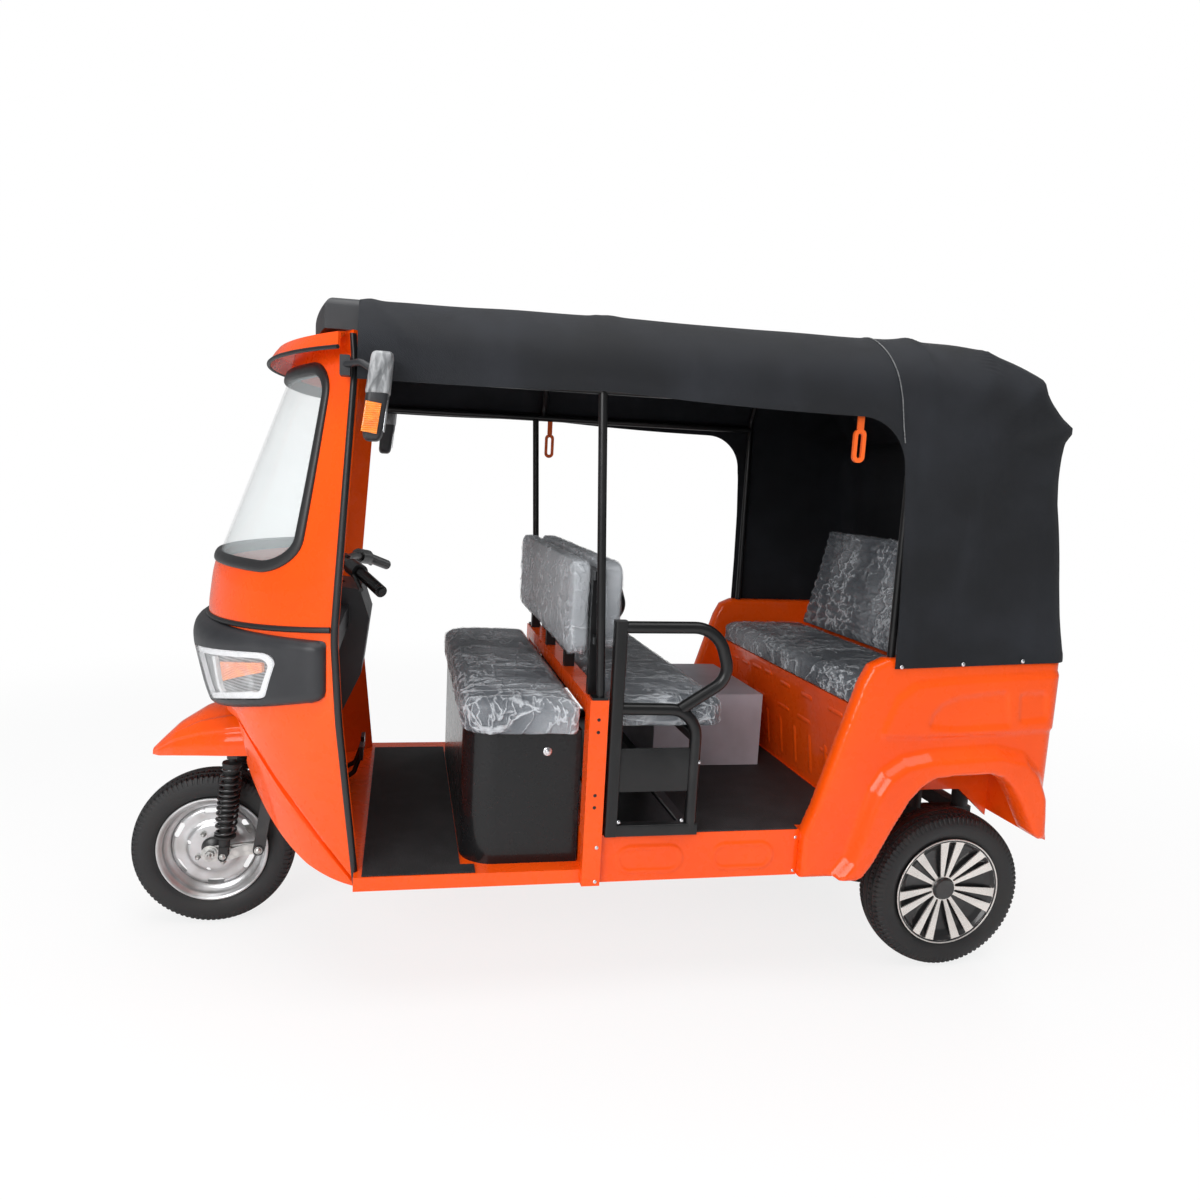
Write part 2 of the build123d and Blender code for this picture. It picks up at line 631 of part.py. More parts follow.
FLARE_OUT = 34
CORNER_R = 48                   # rear corners of the body
with BuildPart() as rear_sides:
    for side in (-1, 1):
        with BuildSketch(Plane.XZ.offset(-side * (BODY_HALF - SIDE_WALL / 2))):
            add(side_outline.sketch_local)
        extrude(amount=SIDE_WALL / 2, both=True)
        upright = rear_sides.edges().filter_by(Axis.Z)
        corner = upright.filter_by_position(Axis.X, BODY_REAR_X - 1, BODY_REAR_X + 1).sort_by(Axis.Y)
        fillet(corner[-1 if side > 0 else 0], CORNER_R)
        # lip that stands out round the arch
        with BuildSketch(Plane.XZ.offset(-side * (BODY_HALF + (FLARE_OUT - CORNER_R) / 2))):
            with BuildLine():
                Polyline((ARCH_LOW_X - 85, SILL_BOTTOM_Z + 10), (ARCH_LOW_X, SILL_BOTTOM_Z + 10), (874, 584))
                ThreePointArc((874, 584), (908, 628), (960, 652))
                Line((960, 652), (1130, 657))
                ThreePointArc((1130, 657), (1181, 638), (1212, 600))
                Polyline((1212, 600), (ARCH_REAR_X, 452), (1340, 452), (1282, 612))
                ThreePointArc((1282, 612), (1240, 690), (1160, 730))
                Line((1160, 730), (905, 722))
                ThreePointArc((905, 722), (825, 690), (780, 628))
                Line((780, 628), (ARCH_LOW_X - 85, SILL_BOTTOM_Z + 10))
            make_face()
        extrude(amount=(FLARE_OUT + CORNER_R) / 2, both=True)
        # pressed panel above the arch
        with BuildSketch(Plane.XZ.offset(-side * (BODY_HALF + 4))):
            with BuildLine():
                Polyline(
                    (776, 753), (799, 853), (862, 916), (944, 928), (1325, 948), (1325, 790), (1240, 748),
                    close=True,
                )
            make_face()
        extrude(amount=4, both=True)
keep(rear_sides, "rear_sides")

with BuildPart() as rear_panel:
    block((BODY_REAR_X - PANEL_T, BODY_REAR_X), (-TUB_HALF, TUB_HALF), (452, BODY_TOP_Z))
    with Locations(Plane(origin=(BODY_REAR_X, 0, PLATE_HOLES_Z), x_dir=(0, 1, 0), z_dir=(1, 0, 0))):
        with GridLocations(PLATE_PITCH_Y, PLATE_PITCH_Z, 2, 2):
            Hole(PLATE_HOLE_R, PANEL_T)
keep(rear_panel, "rear_panel")

with BuildPart() as rear_tub:
    block((TUB_X, BODY_REAR_X - PANEL_T), (-WHEELHOUSE_Y, WHEELHOUSE_Y), (TUB_FLOOR_Z, TUB_FLOOR_Z + TUB_T))
    with BuildSketch(Plane.XZ):
        with BuildLine():
            Polyline(
                (TUB_X, TUB_FLOOR_Z), (745, SEAT_DECK_Z), (745 + TUB_T, SEAT_DECK_Z), (TUB_X + TUB_T, TUB_FLOOR_Z),
                close=True,
            )
        make_face()
    extrude(amount=WHEELHOUSE_Y, both=True)
    with BuildSketch(Plane.XZ):
        with BuildLine():
            Polyline(
                (TUB_X, DECK_Z - FLOOR_T), (745, SEAT_DECK_Z), (745 + TUB_T, SEAT_DECK_Z),
                (TUB_X + TUB_T, DECK_Z - FLOOR_T), close=True,
            )
        make_face()
    extrude(amount=TUB_HALF, both=True)
    block((746, BODY_REAR_X - PANEL_T), (-TUB_HALF, TUB_HALF), (SEAT_DECK_Z - TUB_T, SEAT_DECK_Z))
    # wheelhouse walls, their lower edge dropping to the rear panel
    for side in (-1, 1):
        with BuildSketch(Plane.XZ.offset(-side * (WHEELHOUSE_Y - TUB_T / 2))):
            with BuildLine():
                Polyline(
                    (TUB_X + 4, TUB_FLOOR_Z), (1210, TUB_FLOOR_Z), (BODY_REAR_X - PANEL_T, 430),
                    (BODY_REAR_X - PANEL_T, SEAT_DECK_Z), (TUB_X - 30, SEAT_DECK_Z), close=True,
                )
            make_face()
        extrude(amount=TUB_T / 2, both=True)
    with BuildSketch(Plane.XZ):
        with BuildLine():
            Polyline(
                (1102.6, SEAT_DECK_Z), (1141.6, BODY_TOP_Z), (1154, BODY_TOP_Z), (1115, SEAT_DECK_Z), close=True
            )
        make_face()
    extrude(amount=TUB_HALF, both=True)
    add(floor_pan.part, mode=Mode.SUBTRACT)
keep(rear_tub, "rear_tub")

REAR_SEAT_X = 912               # middle of the rear cushion
REAR_SEAT_D = 350
SEAT_GAP = 13                   # beside the rear cushion
with BuildPart() as rear_cushion:
    with BuildSketch(Plane.XY.offset(SEAT_DECK_Z + SEAT)) as plan:
        with Locations((REAR_SEAT_X, 0)):
            Rectangle(REAR_SEAT_D, 2 * (TUB_HALF - SEAT_GAP))
        fillet(plan.vertices().group_by(Axis.X)[0], 40)
    extrude(amount=68)
    fillet(rear_cushion.faces().sort_by(Axis.Z)[-1].edges(), 12)
keep(rear_cushion, "rear_cushion")

with BuildPart() as rear_backrest:
    with BuildSketch(Plane.XZ):
        with BuildLine():
            Polyline((1064, 900), (1157, 1288), (1212, 1275), (1119, 895), close=True)
        make_face()
    extrude(amount=TUB_HALF - 55, both=True)
    add(rear_tub.part, mode=Mode.SUBTRACT)
keep(rear_backrest, "rear_backrest")

# ---------------------------------------------------------------- canopy
# back of the canopy: z, x of its face on the centre line
CANOPY_BACK = [
    (900, CANOPY_REAR_X), (1003, CANOPY_REAR_X), (1112, 1336), (1290, 1312), (1430, 1288), (1560, 1283),
    (1636, 1312), (1710, 1255.4), (1772, 1208), (1858, 1042), (1896, 833.5),
]
SHOULDER_Z = 1710               # the sides turn over into the roof
SIDE_HEM_Z = 958                # the side hem hangs outside the body
REAR_HEM_Z = 982
HEM_FLARE = 27.4
CANOPY_CORNER_R = 62            # upright rear corners


def canopy_volume(inset):
    """Roof, sides and back of the canopy as a closed volume, its skin moved in by inset."""
    half = CANOPY_HALF - inset
    with BuildPart() as volume:
        for z, back_x in CANOPY_BACK:
            flare = HEM_FLARE * max(0, SHOULDER_Z - z) / (SHOULDER_Z - CANOPY_BACK[0][0])
            with BuildSketch(Plane.XY.offset(z - inset * (z > REAR_HEM_Z))) as plan:
                with Locations(((back_x - inset + CANOPY_FRONT_X - 10) / 2, 0)):
                    Rectangle(back_x - inset - CANOPY_FRONT_X + 10, 2 * (half + flare))
                fillet(plan.vertices().group_by(Axis.X)[-1], CANOPY_CORNER_R - inset)
        loft(ruled=True)
        with BuildSketch(Plane.XZ):
            with BuildLine():
                Polyline(
                    (CANOPY_FRONT_X, 850), (CANOPY_FRONT_X, 1850 - inset), (-56, 1886 - inset),
                    (850, ROOF_Z - inset), (1500, ROOF_Z - inset), (1500, 850), close=True,
                )
            make_face()
        extrude(amount=700, both=True, mode=Mode.INTERSECT)
        with BuildSketch(Plane.YZ.offset(CANOPY_FRONT_X - 20)):
            with BuildLine():
                turn_y, turn_z, wide = half + 4, SHOULDER_Z - 40, half + 2 * HEM_FLARE
                ThreePointArc((-turn_y, turn_z), (-half + 48, 1822 - inset), (-430, 1870 - inset))
                ThreePointArc((-430, 1870 - inset), (0, ROOF_Z - inset), (430, 1870 - inset))
                ThreePointArc((430, 1870 - inset), (half - 48, 1822 - inset), (turn_y, turn_z))
                Polyline(
                    (turn_y, turn_z), (wide, turn_z), (wide, 850), (-wide, 850), (-wide, turn_z), (-turn_y, turn_z)
                )
            make_face()
        extrude(amount=2100, mode=Mode.INTERSECT)
    return volume.part


canopy_outer = canopy_volume(0)
canopy_inner = canopy_volume(CANVAS)
with BuildPart() as canopy:
    add(canopy_outer)
    add(canopy_inner, mode=Mode.SUBTRACT)
    with BuildSketch(Plane.XZ) as door:
        with BuildLine():
            Polyline(
                (CANOPY_FRONT_X - 20, 850), (1400, 850), (1400, REAR_HEM_Z), (SIDE_SEAM_X + 223, SIDE_HEM_Z),
                (792, HEM_Z), (CANOPY_FRONT_X - 20, HEM_Z), close=True,
            )
        make_face()
        fillet(door.vertices().sort_by_distance((792, 0, HEM_Z))[0], 120)
    extrude(amount=700, both=True, mode=Mode.SUBTRACT)
keep(canopy, "canopy")

HANDLE_DROP = 128
with BuildPart() as grab_handles:
    for x, side in ((655, -1), (0, 1)):
        y = side * FRAME_Y
        with BuildSketch(Plane.XZ.offset(-y)) as loop:
            with Locations((x, HEM_Z - HANDLE_DROP + 38)):
                SlotOverall(90, 34, rotation=90)
                SlotOverall(66, 14, rotation=90, mode=Mode.SUBTRACT)
        extrude(amount=5, both=True)
        block((x - 9, x + 9), (y - 3, y + 3), (HEM_Z - HANDLE_DROP + 82, RAIL_TOP_Z - TUBE_R))
keep(grab_handles, "grab_handles")

# ---------------------------------------------------------------- rear axle and springs
AXLE_TUBE_R = 32
PLATE_R = 92
PLATE_Y = 396
LEAF_T = 24
with BuildPart() as leaf_springs:
    low_z = TYRE_R - AXLE_TUBE_R - LEAF_T
    for side in (-1, 1):
        with BuildSketch(Plane.XZ.offset(-side * RAIL_Y)):
            with BuildLine():
                a, m, b = (SPRING_FRONT_X, EYE_Z), (REAR_AXLE_X, low_z + LEAF_T / 2 - 2), (SPRING_REAR_X, EYE_Z)
                upper = ThreePointArc(*[(p[0], p[1] + 8) for p in (a, m, b)])
                lower = ThreePointArc(*[(p[0], p[1] - 8) for p in (a, m, b)])
                Line(upper @ 1, lower @ 1)
                Line(lower @ 0, upper @ 0)
            make_face()
            with Locations(a, b):
                Circle(EYE_R)
        extrude(amount=SPRING_W / 2, both=True)
keep(leaf_springs, "leaf_springs")

with BuildPart() as rear_axle:
    cross_rod(REAR_AXLE_X, -PLATE_Y, PLATE_Y, TYRE_R, AXLE_TUBE_R)
    for side in (-1, 1):
        cross_rod(REAR_AXLE_X, *sorted((side * (PLATE_Y - 8), side * PLATE_Y)), TYRE_R, PLATE_R)
        cross_rod(REAR_AXLE_X, *sorted((side * PLATE_Y, side * 508)), TYRE_R, SPINDLE_R)
        block((REAR_AXLE_X - 35, REAR_AXLE_X + 35), sorted((side * 275, side * 325)), (205, 225))
    with Locations((REAR_AXLE_X, 40, TYRE_R)):
        Sphere(95)
    add(leaf_springs.part, mode=Mode.SUBTRACT)
keep(rear_axle, "rear_axle")

with BuildPart() as drive_motor:
    block((REAR_AXLE_X - 300, REAR_AXLE_X - 20), (-60, 130), (TYRE_R - 75, TYRE_R + 75))
    add(rear_axle.part, mode=Mode.SUBTRACT)
keep(drive_motor, "drive_motor")

with BuildPart() as tail_lamps:
    for side in (-1, 1):
        block((BODY_REAR_X, CANOPY_REAR_X), (side * 470 - 45, side * 470 + 45), (700, 880))
keep(tail_lamps, "tail_lamps")

# ---------------------------------------------------------------- steering
CROWN = (345, 370)              # along the steering axis
STEM_L = 605                    # from the crown to the handlebar
LEG_Y = 93
PIVOT = (-965, 262)
DAMPER_Y = 100
DAMPER_LOW = (-1068, 250)
DAMPER_TOP = (-1038, 572)
LINK_Y = (66, 76)

with BuildPart() as fork:
    with Locations(steer.offset(CROWN[0])):
        Cylinder(STEM_R, STEM_L, align=(Align.CENTER, Align.CENTER, Align.MIN))
        with Locations((-32, 0, 0)):
            Box(146, 236, CROWN[1] - CROWN[0], align=(Align.CENTER, Align.CENTER, Align.MIN))
    for side in (-1, 1):
        with BuildSketch(Plane.XZ.offset(-side * LEG_Y)):
            with BuildLine():
                Polyline((-932, 575), (-898, 560), (-948, 258), (-982, 262), close=True)
            make_face()
        extrude(amount=9, both=True)
        cross_rod(PIVOT[0], *sorted((side * LINK_Y[1], side * 106)), PIVOT[1], 16)
        block((-1052, -1024), (side * DAMPER_Y - 17, side * DAMPER_Y - 13), (560, 606))
        block((-1052, -1024), (side * DAMPER_Y + 13, side * DAMPER_Y + 17), (560, 606))
keep(fork, "fork")

with BuildPart() as front_links:
    cross_rod(FRONT_AXLE_X, -88, 88, TYRE_R, AXLE_R)
    for side in (-1, 1):
        with BuildSketch(Plane.XZ.offset(-side * (LINK_Y[0] + LINK_Y[1]) / 2)):
            with BuildLine():
                Polyline(
                    (FRONT_AXLE_X, TYRE_R + 18), (PIVOT[0], PIVOT[1] + 17),
                    (PIVOT[0], PIVOT[1] - 17), (FRONT_AXLE_X, TYRE_R - 18), close=True,
                )
            make_face()
            with Locations((FRONT_AXLE_X, TYRE_R)):
                Circle(18)
            with Locations(PIVOT):
                Circle(17)
        extrude(amount=(LINK_Y[1] - LINK_Y[0]) / 2, both=True)
        cross_rod(DAMPER_LOW[0], *sorted((side * LINK_Y[1], side * 116)), DAMPER_LOW[1], 7)
keep(front_links, "front_links")

with BuildPart() as front_dampers:
    for side in (-1, 1):
        y = side * DAMPER_Y
        low = (DAMPER_LOW[0], y, DAMPER_LOW[1])
        top = (DAMPER_TOP[0], y, DAMPER_TOP[1])
        a, b = Vector(*low), Vector(*top)
        along = (b - a).normalized()
        cross_rod(low[0], y - 12, y + 12, low[2], 14)
        cross_rod(top[0], y - 12, y + 12, top[2], 12)
        rod(tuple(a), tuple(b), 9)
        rod(tuple(a + along * 48), tuple(a + along * 270), 29)
        cross_rod(low[0], y - 20, y + 20, low[2], 7, mode=Mode.SUBTRACT)
keep(front_dampers, "front_dampers")

BAR_R, GRIP_R, SWITCH_R, LEVER_R = 11, 17, 24, 6
CLAMP_R, CLAMP_H = 24, 44
with BuildPart() as handlebar:
    with Locations(steer.offset(CROWN[0] + STEM_L)):
        Cylinder(CLAMP_R, CLAMP_H, align=(Align.CENTER, Align.CENTER, Align.MIN))
    hub = steer.offset(CROWN[0] + STEM_L + CLAMP_H / 2).origin
    bent_tube(
        [
            (-598, -362, 1108), (-660, -240, 1145), (-700, -120, 1162), (hub.X, 0, hub.Z), (-700, 120, 1162),
            (-660, 240, 1145), (-598, 362, 1108),
        ],
        BAR_R,
        30,
    )
    for side in (-1, 1):
        rod((-601, side * 356, 1110), (-660, side * 240, 1145), GRIP_R)
        rod((-664, side * 236, 1147), (-690, side * 172, 1157), SWITCH_R)
        rod((-690, side * 200, 1152), (-655, side * 345, 1112), LEVER_R)
keep(handlebar, "handlebar")


# ---------------------------------------------------------------- wheels
def axle_plane(x):
    """YZ plane through a wheel's axle, its local y measured from the axle."""
    return Plane(origin=(x, 0, TYRE_R), x_dir=(0, 1, 0), z_dir=(1, 0, 0))


def axle_line(x):
    """Axis of a wheel."""
    return Axis((x, 0, TYRE_R), (0, 1, 0))


def wheel_face(x, y, side):
    """Plane across a wheel at y, looking out of the vehicle on that side."""
    return Plane(origin=(x, y, TYRE_R), x_dir=(-side, 0, 0), z_dir=(0, side, 0))


def tyre_profile(axle_x, centre_y):
    """Section of a tyre, above its axle."""
    half = TYRE_W / 2
    with BuildSketch(axle_plane(axle_x)) as section:
        with BuildLine():
            ThreePointArc((centre_y - 47, TYRE_R - 10), (centre_y, TYRE_R), (centre_y + 47, TYRE_R - 10))
            ThreePointArc((centre_y + 47, TYRE_R - 10), (centre_y + half, 204), (centre_y + 43, FLANGE_R + 1))
            Polyline(
                (centre_y + 43, FLANGE_R + 1), (centre_y + 43, BEAD_R), (centre_y - 43, BEAD_R),
                (centre_y - 43, FLANGE_R + 1),
            )
            ThreePointArc((centre_y - 43, FLANGE_R + 1), (centre_y - half, 204), (centre_y - 47, TYRE_R - 10))
        make_face()
    return section.sketch


BARREL_HALF = 48                # half width of a rim over its flanges


def barrel_profile(axle_x, centre_y):
    """Section of a rim barrel with its flanges, bead seats and well."""
    y, t, well, rim = centre_y, RIM_WALL, 134, BARREL_HALF
    with BuildSketch(axle_plane(axle_x)) as section:
        with BuildLine():
            Polyline(
                (y - rim, FLANGE_R), (y - 43, FLANGE_R), (y - 43, BEAD_R), (y - 24, BEAD_R), (y - 14, well),
                (y + 14, well), (y + 24, BEAD_R), (y + 43, BEAD_R), (y + 43, FLANGE_R), (y + rim, FLANGE_R),
                (y + rim, BEAD_R - t), (y + 26, BEAD_R - t), (y + 16, well - t), (y - 16, well - t),
                (y - 26, BEAD_R - t), (y - rim, BEAD_R - t), close=True,
            )
        make_face()
    return section.sketch


with BuildPart() as front_tyre:
    revolve(tyre_profile(FRONT_AXLE_X, 0), axis=axle_line(FRONT_AXLE_X))
keep(front_tyre, "front_tyre")

HUB_R = 36
RIM_SLOTS = 6
SLOT_PCR = 116                  # radius of the slots' middles
SLOT_SIZE = (52, 15)
STUD_PCR, STUD_HOLE_R = 75, 7
DISC_REACH = 42                 # further out than the wheel disc's face
with BuildPart() as front_rim:
    revolve(barrel_profile(FRONT_AXLE_X, 0), axis=axle_line(FRONT_AXLE_X))
    with BuildSketch(axle_plane(FRONT_AXLE_X)):
        with BuildLine():
            Polyline(
                (-17, 131), (-23, 100), (-30, 78), (-30, HUB_R), (-58, HUB_R), (-58, AXLE_R + RUN),
                (58, AXLE_R + RUN), (58, HUB_R), (-24, HUB_R), (-24, 76), (-17, 98), (-10, 131),
                close=True,
            )
        make_face()
    revolve(axis=axle_line(FRONT_AXLE_X))
    with BuildSketch(wheel_face(FRONT_AXLE_X, 0, -1)):
        with PolarLocations(SLOT_PCR, RIM_SLOTS, start_angle=32):
            SlotOverall(*SLOT_SIZE, rotation=90)
        with PolarLocations(STUD_PCR, 4, start_angle=77):
            Circle(STUD_HOLE_R)
    extrude(amount=DISC_REACH, mode=Mode.SUBTRACT)
keep(front_rim, "front_rim")

COVER_T = 4
COVER_IN, COVER_OUT = 40, 158   # the windows run between these radii
SPOKE_PAIRS = 7
# windows of the wheel cover: half width at the hub, half width at the ring, turn in steps of a pair
COVER_WINDOWS = [
    (3.5, 12, 0),
    (4.5, 31, 0.5),
]

for side, name in ((-1, "left"), (1, "right")):
    y = side * REAR_WHEEL_Y
    with BuildPart() as rear_tyre:
        revolve(tyre_profile(REAR_AXLE_X, y), axis=axle_line(REAR_AXLE_X))
    keep(rear_tyre, f"rear_tyre_{name}")

    cover_y = y + side * BARREL_HALF
    with BuildPart() as rear_wheel:
        revolve(barrel_profile(REAR_AXLE_X, y), axis=axle_line(REAR_AXLE_X))
        cross_rod(REAR_AXLE_X, *sorted((y - side * 68, y + side * 10)), TYRE_R, 86)
        cross_rod(REAR_AXLE_X, *sorted((y, y + side * 8)), TYRE_R, 131)
        cross_rod(REAR_AXLE_X, *sorted((y, cover_y)), TYRE_R, HUB_R)
        cross_rod(REAR_AXLE_X, *sorted((cover_y, cover_y + side * COVER_T)), TYRE_R, FLANGE_R)
        with BuildSketch(wheel_face(REAR_AXLE_X, cover_y, side)):
            for half_in, half_out, turn in COVER_WINDOWS:
                with PolarLocations(0, SPOKE_PAIRS, start_angle=90 + turn * 360 / SPOKE_PAIRS):
                    Polygon(
                        (COVER_IN, -half_in), (COVER_OUT, -half_out), (COVER_OUT, half_out), (COVER_IN, half_in),
                        align=None,
                    )
        extrude(amount=COVER_T, mode=Mode.SUBTRACT)
        bore_y = sorted((y - side * 70, y + side * 40))
        cross_rod(REAR_AXLE_X, *bore_y, TYRE_R, SPINDLE_R + RUN, mode=Mode.SUBTRACT)
    keep(rear_wheel, f"rear_wheel_{name}")
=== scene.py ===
"""Looks of a three-wheeled auto rickshaw: gloss paint, canvas, vinyl under film, rubber and steel.

The vehicle faces -X, its left side is -Y and Z is up.  Every length is in metres.
"""
import math

import bpy
import numpy as np
from mathutils import Matrix, Vector
from mathutils.geometry import delaunay_2d_cdt


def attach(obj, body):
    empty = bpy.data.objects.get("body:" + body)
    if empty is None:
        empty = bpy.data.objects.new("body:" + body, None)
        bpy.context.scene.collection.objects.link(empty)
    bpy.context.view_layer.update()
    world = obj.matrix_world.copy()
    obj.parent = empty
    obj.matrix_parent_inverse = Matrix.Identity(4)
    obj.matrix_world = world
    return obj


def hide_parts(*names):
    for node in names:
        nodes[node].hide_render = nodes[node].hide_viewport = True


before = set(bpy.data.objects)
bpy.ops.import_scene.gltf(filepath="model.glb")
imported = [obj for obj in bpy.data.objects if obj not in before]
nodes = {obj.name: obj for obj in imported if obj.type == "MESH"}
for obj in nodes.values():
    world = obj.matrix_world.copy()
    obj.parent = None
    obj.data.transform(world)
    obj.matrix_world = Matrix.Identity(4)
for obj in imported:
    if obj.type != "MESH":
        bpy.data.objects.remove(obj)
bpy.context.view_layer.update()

# ------------------------------------------------------------------ camera
# A 25.8 mm lens at a standing person's height, by the near front corner and turned a little to the rear. It
# is tilted down, rolled by a few degrees, and its picture is shifted sideways.
YAW, PITCH, ROLL = (math.radians(angle) for angle in (10.54, 7.941, -2.628))
CAMERA_AT = (-0.545, -2.7357, 1.4346)
LENS_MM, SENSOR_MM, LENS_SHIFT = 25.76, 36, 0.0333
look = Vector((math.sin(YAW) * math.cos(PITCH), math.cos(YAW) * math.cos(PITCH), -math.sin(PITCH)))
level = Vector((math.cos(YAW), -math.sin(YAW), 0))
under = look.cross(level)
right = level * math.cos(ROLL) + under * math.sin(ROLL)
under = under * math.cos(ROLL) - level * math.sin(ROLL)
camera = bpy.data.objects.new("camera", bpy.data.cameras.new("camera"))
bpy.context.scene.collection.objects.link(camera)
camera.matrix_world = Matrix.Translation(CAMERA_AT) @ Matrix((right, -under, -look)).transposed().to_4x4()
camera.data.sensor_width, camera.data.lens, camera.data.shift_x = SENSOR_MM, LENS_MM, LENS_SHIFT
bpy.context.scene.camera = camera

# ------------------------------------------------------------------ tyres
# Three road tyres of black rubber, moulded with four grooves round them, blocks cut by narrow slots across
# the shoulders and between the grooves, and fine rings round the plain sidewalls.


class Wire:
    """A shader socket that takes part in Python sums; each sum adds its own Math node."""

    def __init__(self, tree, socket=None):
        self.tree, self.socket = tree, socket

    def node(self, kind, settings=None, inputs=None, out=0):
        """Adds a node, its settings first and then its sockets' values or links, and returns one output."""
        made = self.tree.nodes.new("ShaderNode" + kind)
        for key, value in (settings or {}).items():
            setattr(made, key, value)
        for key, value in (inputs or {}).items():
            if isinstance(value, Wire):
                self.tree.links.new(value.socket, made.inputs[key])
            else:
                made.inputs[key].default_value = value
        return Wire(self.tree, made.outputs[out])

    def math(self, operation, *values):
        """A Math node on sockets or numbers."""
        return self.node("Math", {"operation": operation}, dict(enumerate(values)))

    def __add__(self, other):
        return self.math("ADD", self, other)

    def __sub__(self, other):
        return self.math("SUBTRACT", self, other)

    def __rsub__(self, other):
        return self.math("SUBTRACT", other, self)

    def __mul__(self, other):
        return self.math("MULTIPLY", self, other)

    __radd__, __rmul__ = __add__, __mul__

    def part(self, low, high, to_low=0.0, to_high=1.0):
        """The socket's value eased from one range to another, and held at its ends."""
        return self.node(
            "MapRange", {"interpolation_type": "SMOOTHSTEP"},
            {"Value": self, "From Min": low, "From Max": high, "To Min": to_low, "To Max": to_high},
        )

    def tint(self, first, second):
        """A colour between two, by this socket's value."""
        ends = [c if isinstance(c, Wire) else (*c, 1) for c in (first, second)]
        return self.node("Mix", {"data_type": "RGBA"}, {0: self, 6: ends[0], 7: ends[1]}, 2)

    def noise(self, scale, detail=3.0, stretch=(1, 1, 1), kind="Noise", out=0, **more):
        """A texture on the piece's own coordinates, drawn out along any of its axes."""
        place = self.node("TexCoord", out="Object")
        if stretch != (1, 1, 1):
            place = self.node("Mapping", None, {"Vector": place, "Scale": stretch})
        inputs = {"Vector": place, "Scale": scale, **more}
        if kind == "Noise":
            inputs["Detail"] = detail
        return self.node("Tex" + kind, None, inputs, out)

    def axes(self):
        """The three object coordinates."""
        split = self.node("SeparateXYZ", None, {0: self.node("TexCoord", out="Object")})
        return [Wire(self.tree, socket) for socket in split.socket.node.outputs]


def finish(name, colour, rough, **constants):
    """A material of one Principled shader, and the start of its shader sums. The constants name its sockets,
    with _ for a space."""
    material = bpy.data.materials.new(name)
    material.use_nodes = True
    shader = material.node_tree.nodes["Principled BSDF"]
    shader.inputs["Base Color"].default_value = (*colour, 1)
    shader.inputs["Roughness"].default_value = rough
    for key, value in constants.items():
        shader.inputs[key.replace("_", " ")].default_value = value
    return material, Wire(material.node_tree)


def feed(material, **wires):
    """Links sums to the sockets of a material's shader; Bump takes (height, depth in metres)."""
    shader = material.node_tree.nodes["Principled BSDF"]
    for key, wire in wires.items():
        if key == "Bump":
            height, depth = wire
            wire = height.node("Bump", None, {"Height": height, "Distance": depth, "Strength": 1.0})
            key = "Normal"
        material.node_tree.links.new(wire.socket, shader.inputs[key.replace("_", " ")])


def dress(material, *names):
    """Gives CAD nodes their material."""
    for name in names:
        nodes[name].data.materials.clear()
        nodes[name].data.materials.append(material)


def piece(name, points, faces, body, material, sharp=40):
    """An object of one mesh from points and arrays of faces, riding on a body: smooth, but for edges that
    turn by more than an angle in degrees."""
    faces = [f for f in faces if len(f)]
    corners = np.concatenate([f.ravel() for f in faces]).astype(np.int32)
    sizes = np.concatenate([np.full(len(f), f.shape[1]) for f in faces])
    starts = np.concatenate([[0], np.cumsum(sizes)[:-1]]).astype(np.int32)
    mesh = bpy.data.meshes.new(name)
    mesh.vertices.add(len(points))
    mesh.vertices.foreach_set("co", np.asarray(points, np.float32).ravel())
    mesh.loops.add(len(corners))
    mesh.loops.foreach_set("vertex_index", corners)
    mesh.polygons.add(len(starts))
    mesh.polygons.foreach_set("loop_start", starts)
    mesh.update(calc_edges=True)
    mesh.validate()
    mesh.shade_smooth()
    mesh.set_sharp_from_angle(angle=math.radians(sharp))
    mesh.materials.append(material)
    made = bpy.data.objects.new(name, mesh)
    bpy.context.scene.collection.objects.link(made)
    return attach(made, body)


def quads(rows, columns, wrap_rows=False, wrap_columns=False):
    """Faces of a grid numbered row by row; a wrapped direction closes on itself."""
    index = np.arange(rows * columns).reshape(rows, columns)
    if wrap_rows:
        index = np.vstack([index, index[:1]])
    if wrap_columns:
        index = np.hstack([index, index[:, :1]])
    return np.stack([index[:-1, :-1], index[:-1, 1:], index[1:, 1:], index[1:, :-1]], -1).reshape(-1, 4)


def lathe(profile, centre, turns, closed=False, back=False, shape=None):
    """Points and faces of a profile of (radius, y) points turned about a line along Y through a centre.
    Closed joins its last point to its first, back turns its faces round, and shape(angle, row) is added to
    its radii."""
    angle = np.linspace(0, 2 * np.pi, turns, endpoint=False)[:, None]
    radius = profile[None, :, 0] + (0 if shape is None else shape(angle, np.arange(len(profile))[None, :]))
    x, z = centre[0] + radius * np.cos(angle), centre[2] + radius * np.sin(angle)
    grid = np.stack([x, np.broadcast_to(centre[1] + profile[None, :, 1], x.shape), z], -1)
    faces = quads(turns, len(profile), wrap_rows=True, wrap_columns=closed)
    return grid.reshape(-1, 3), faces[:, ::-1] if back else faces


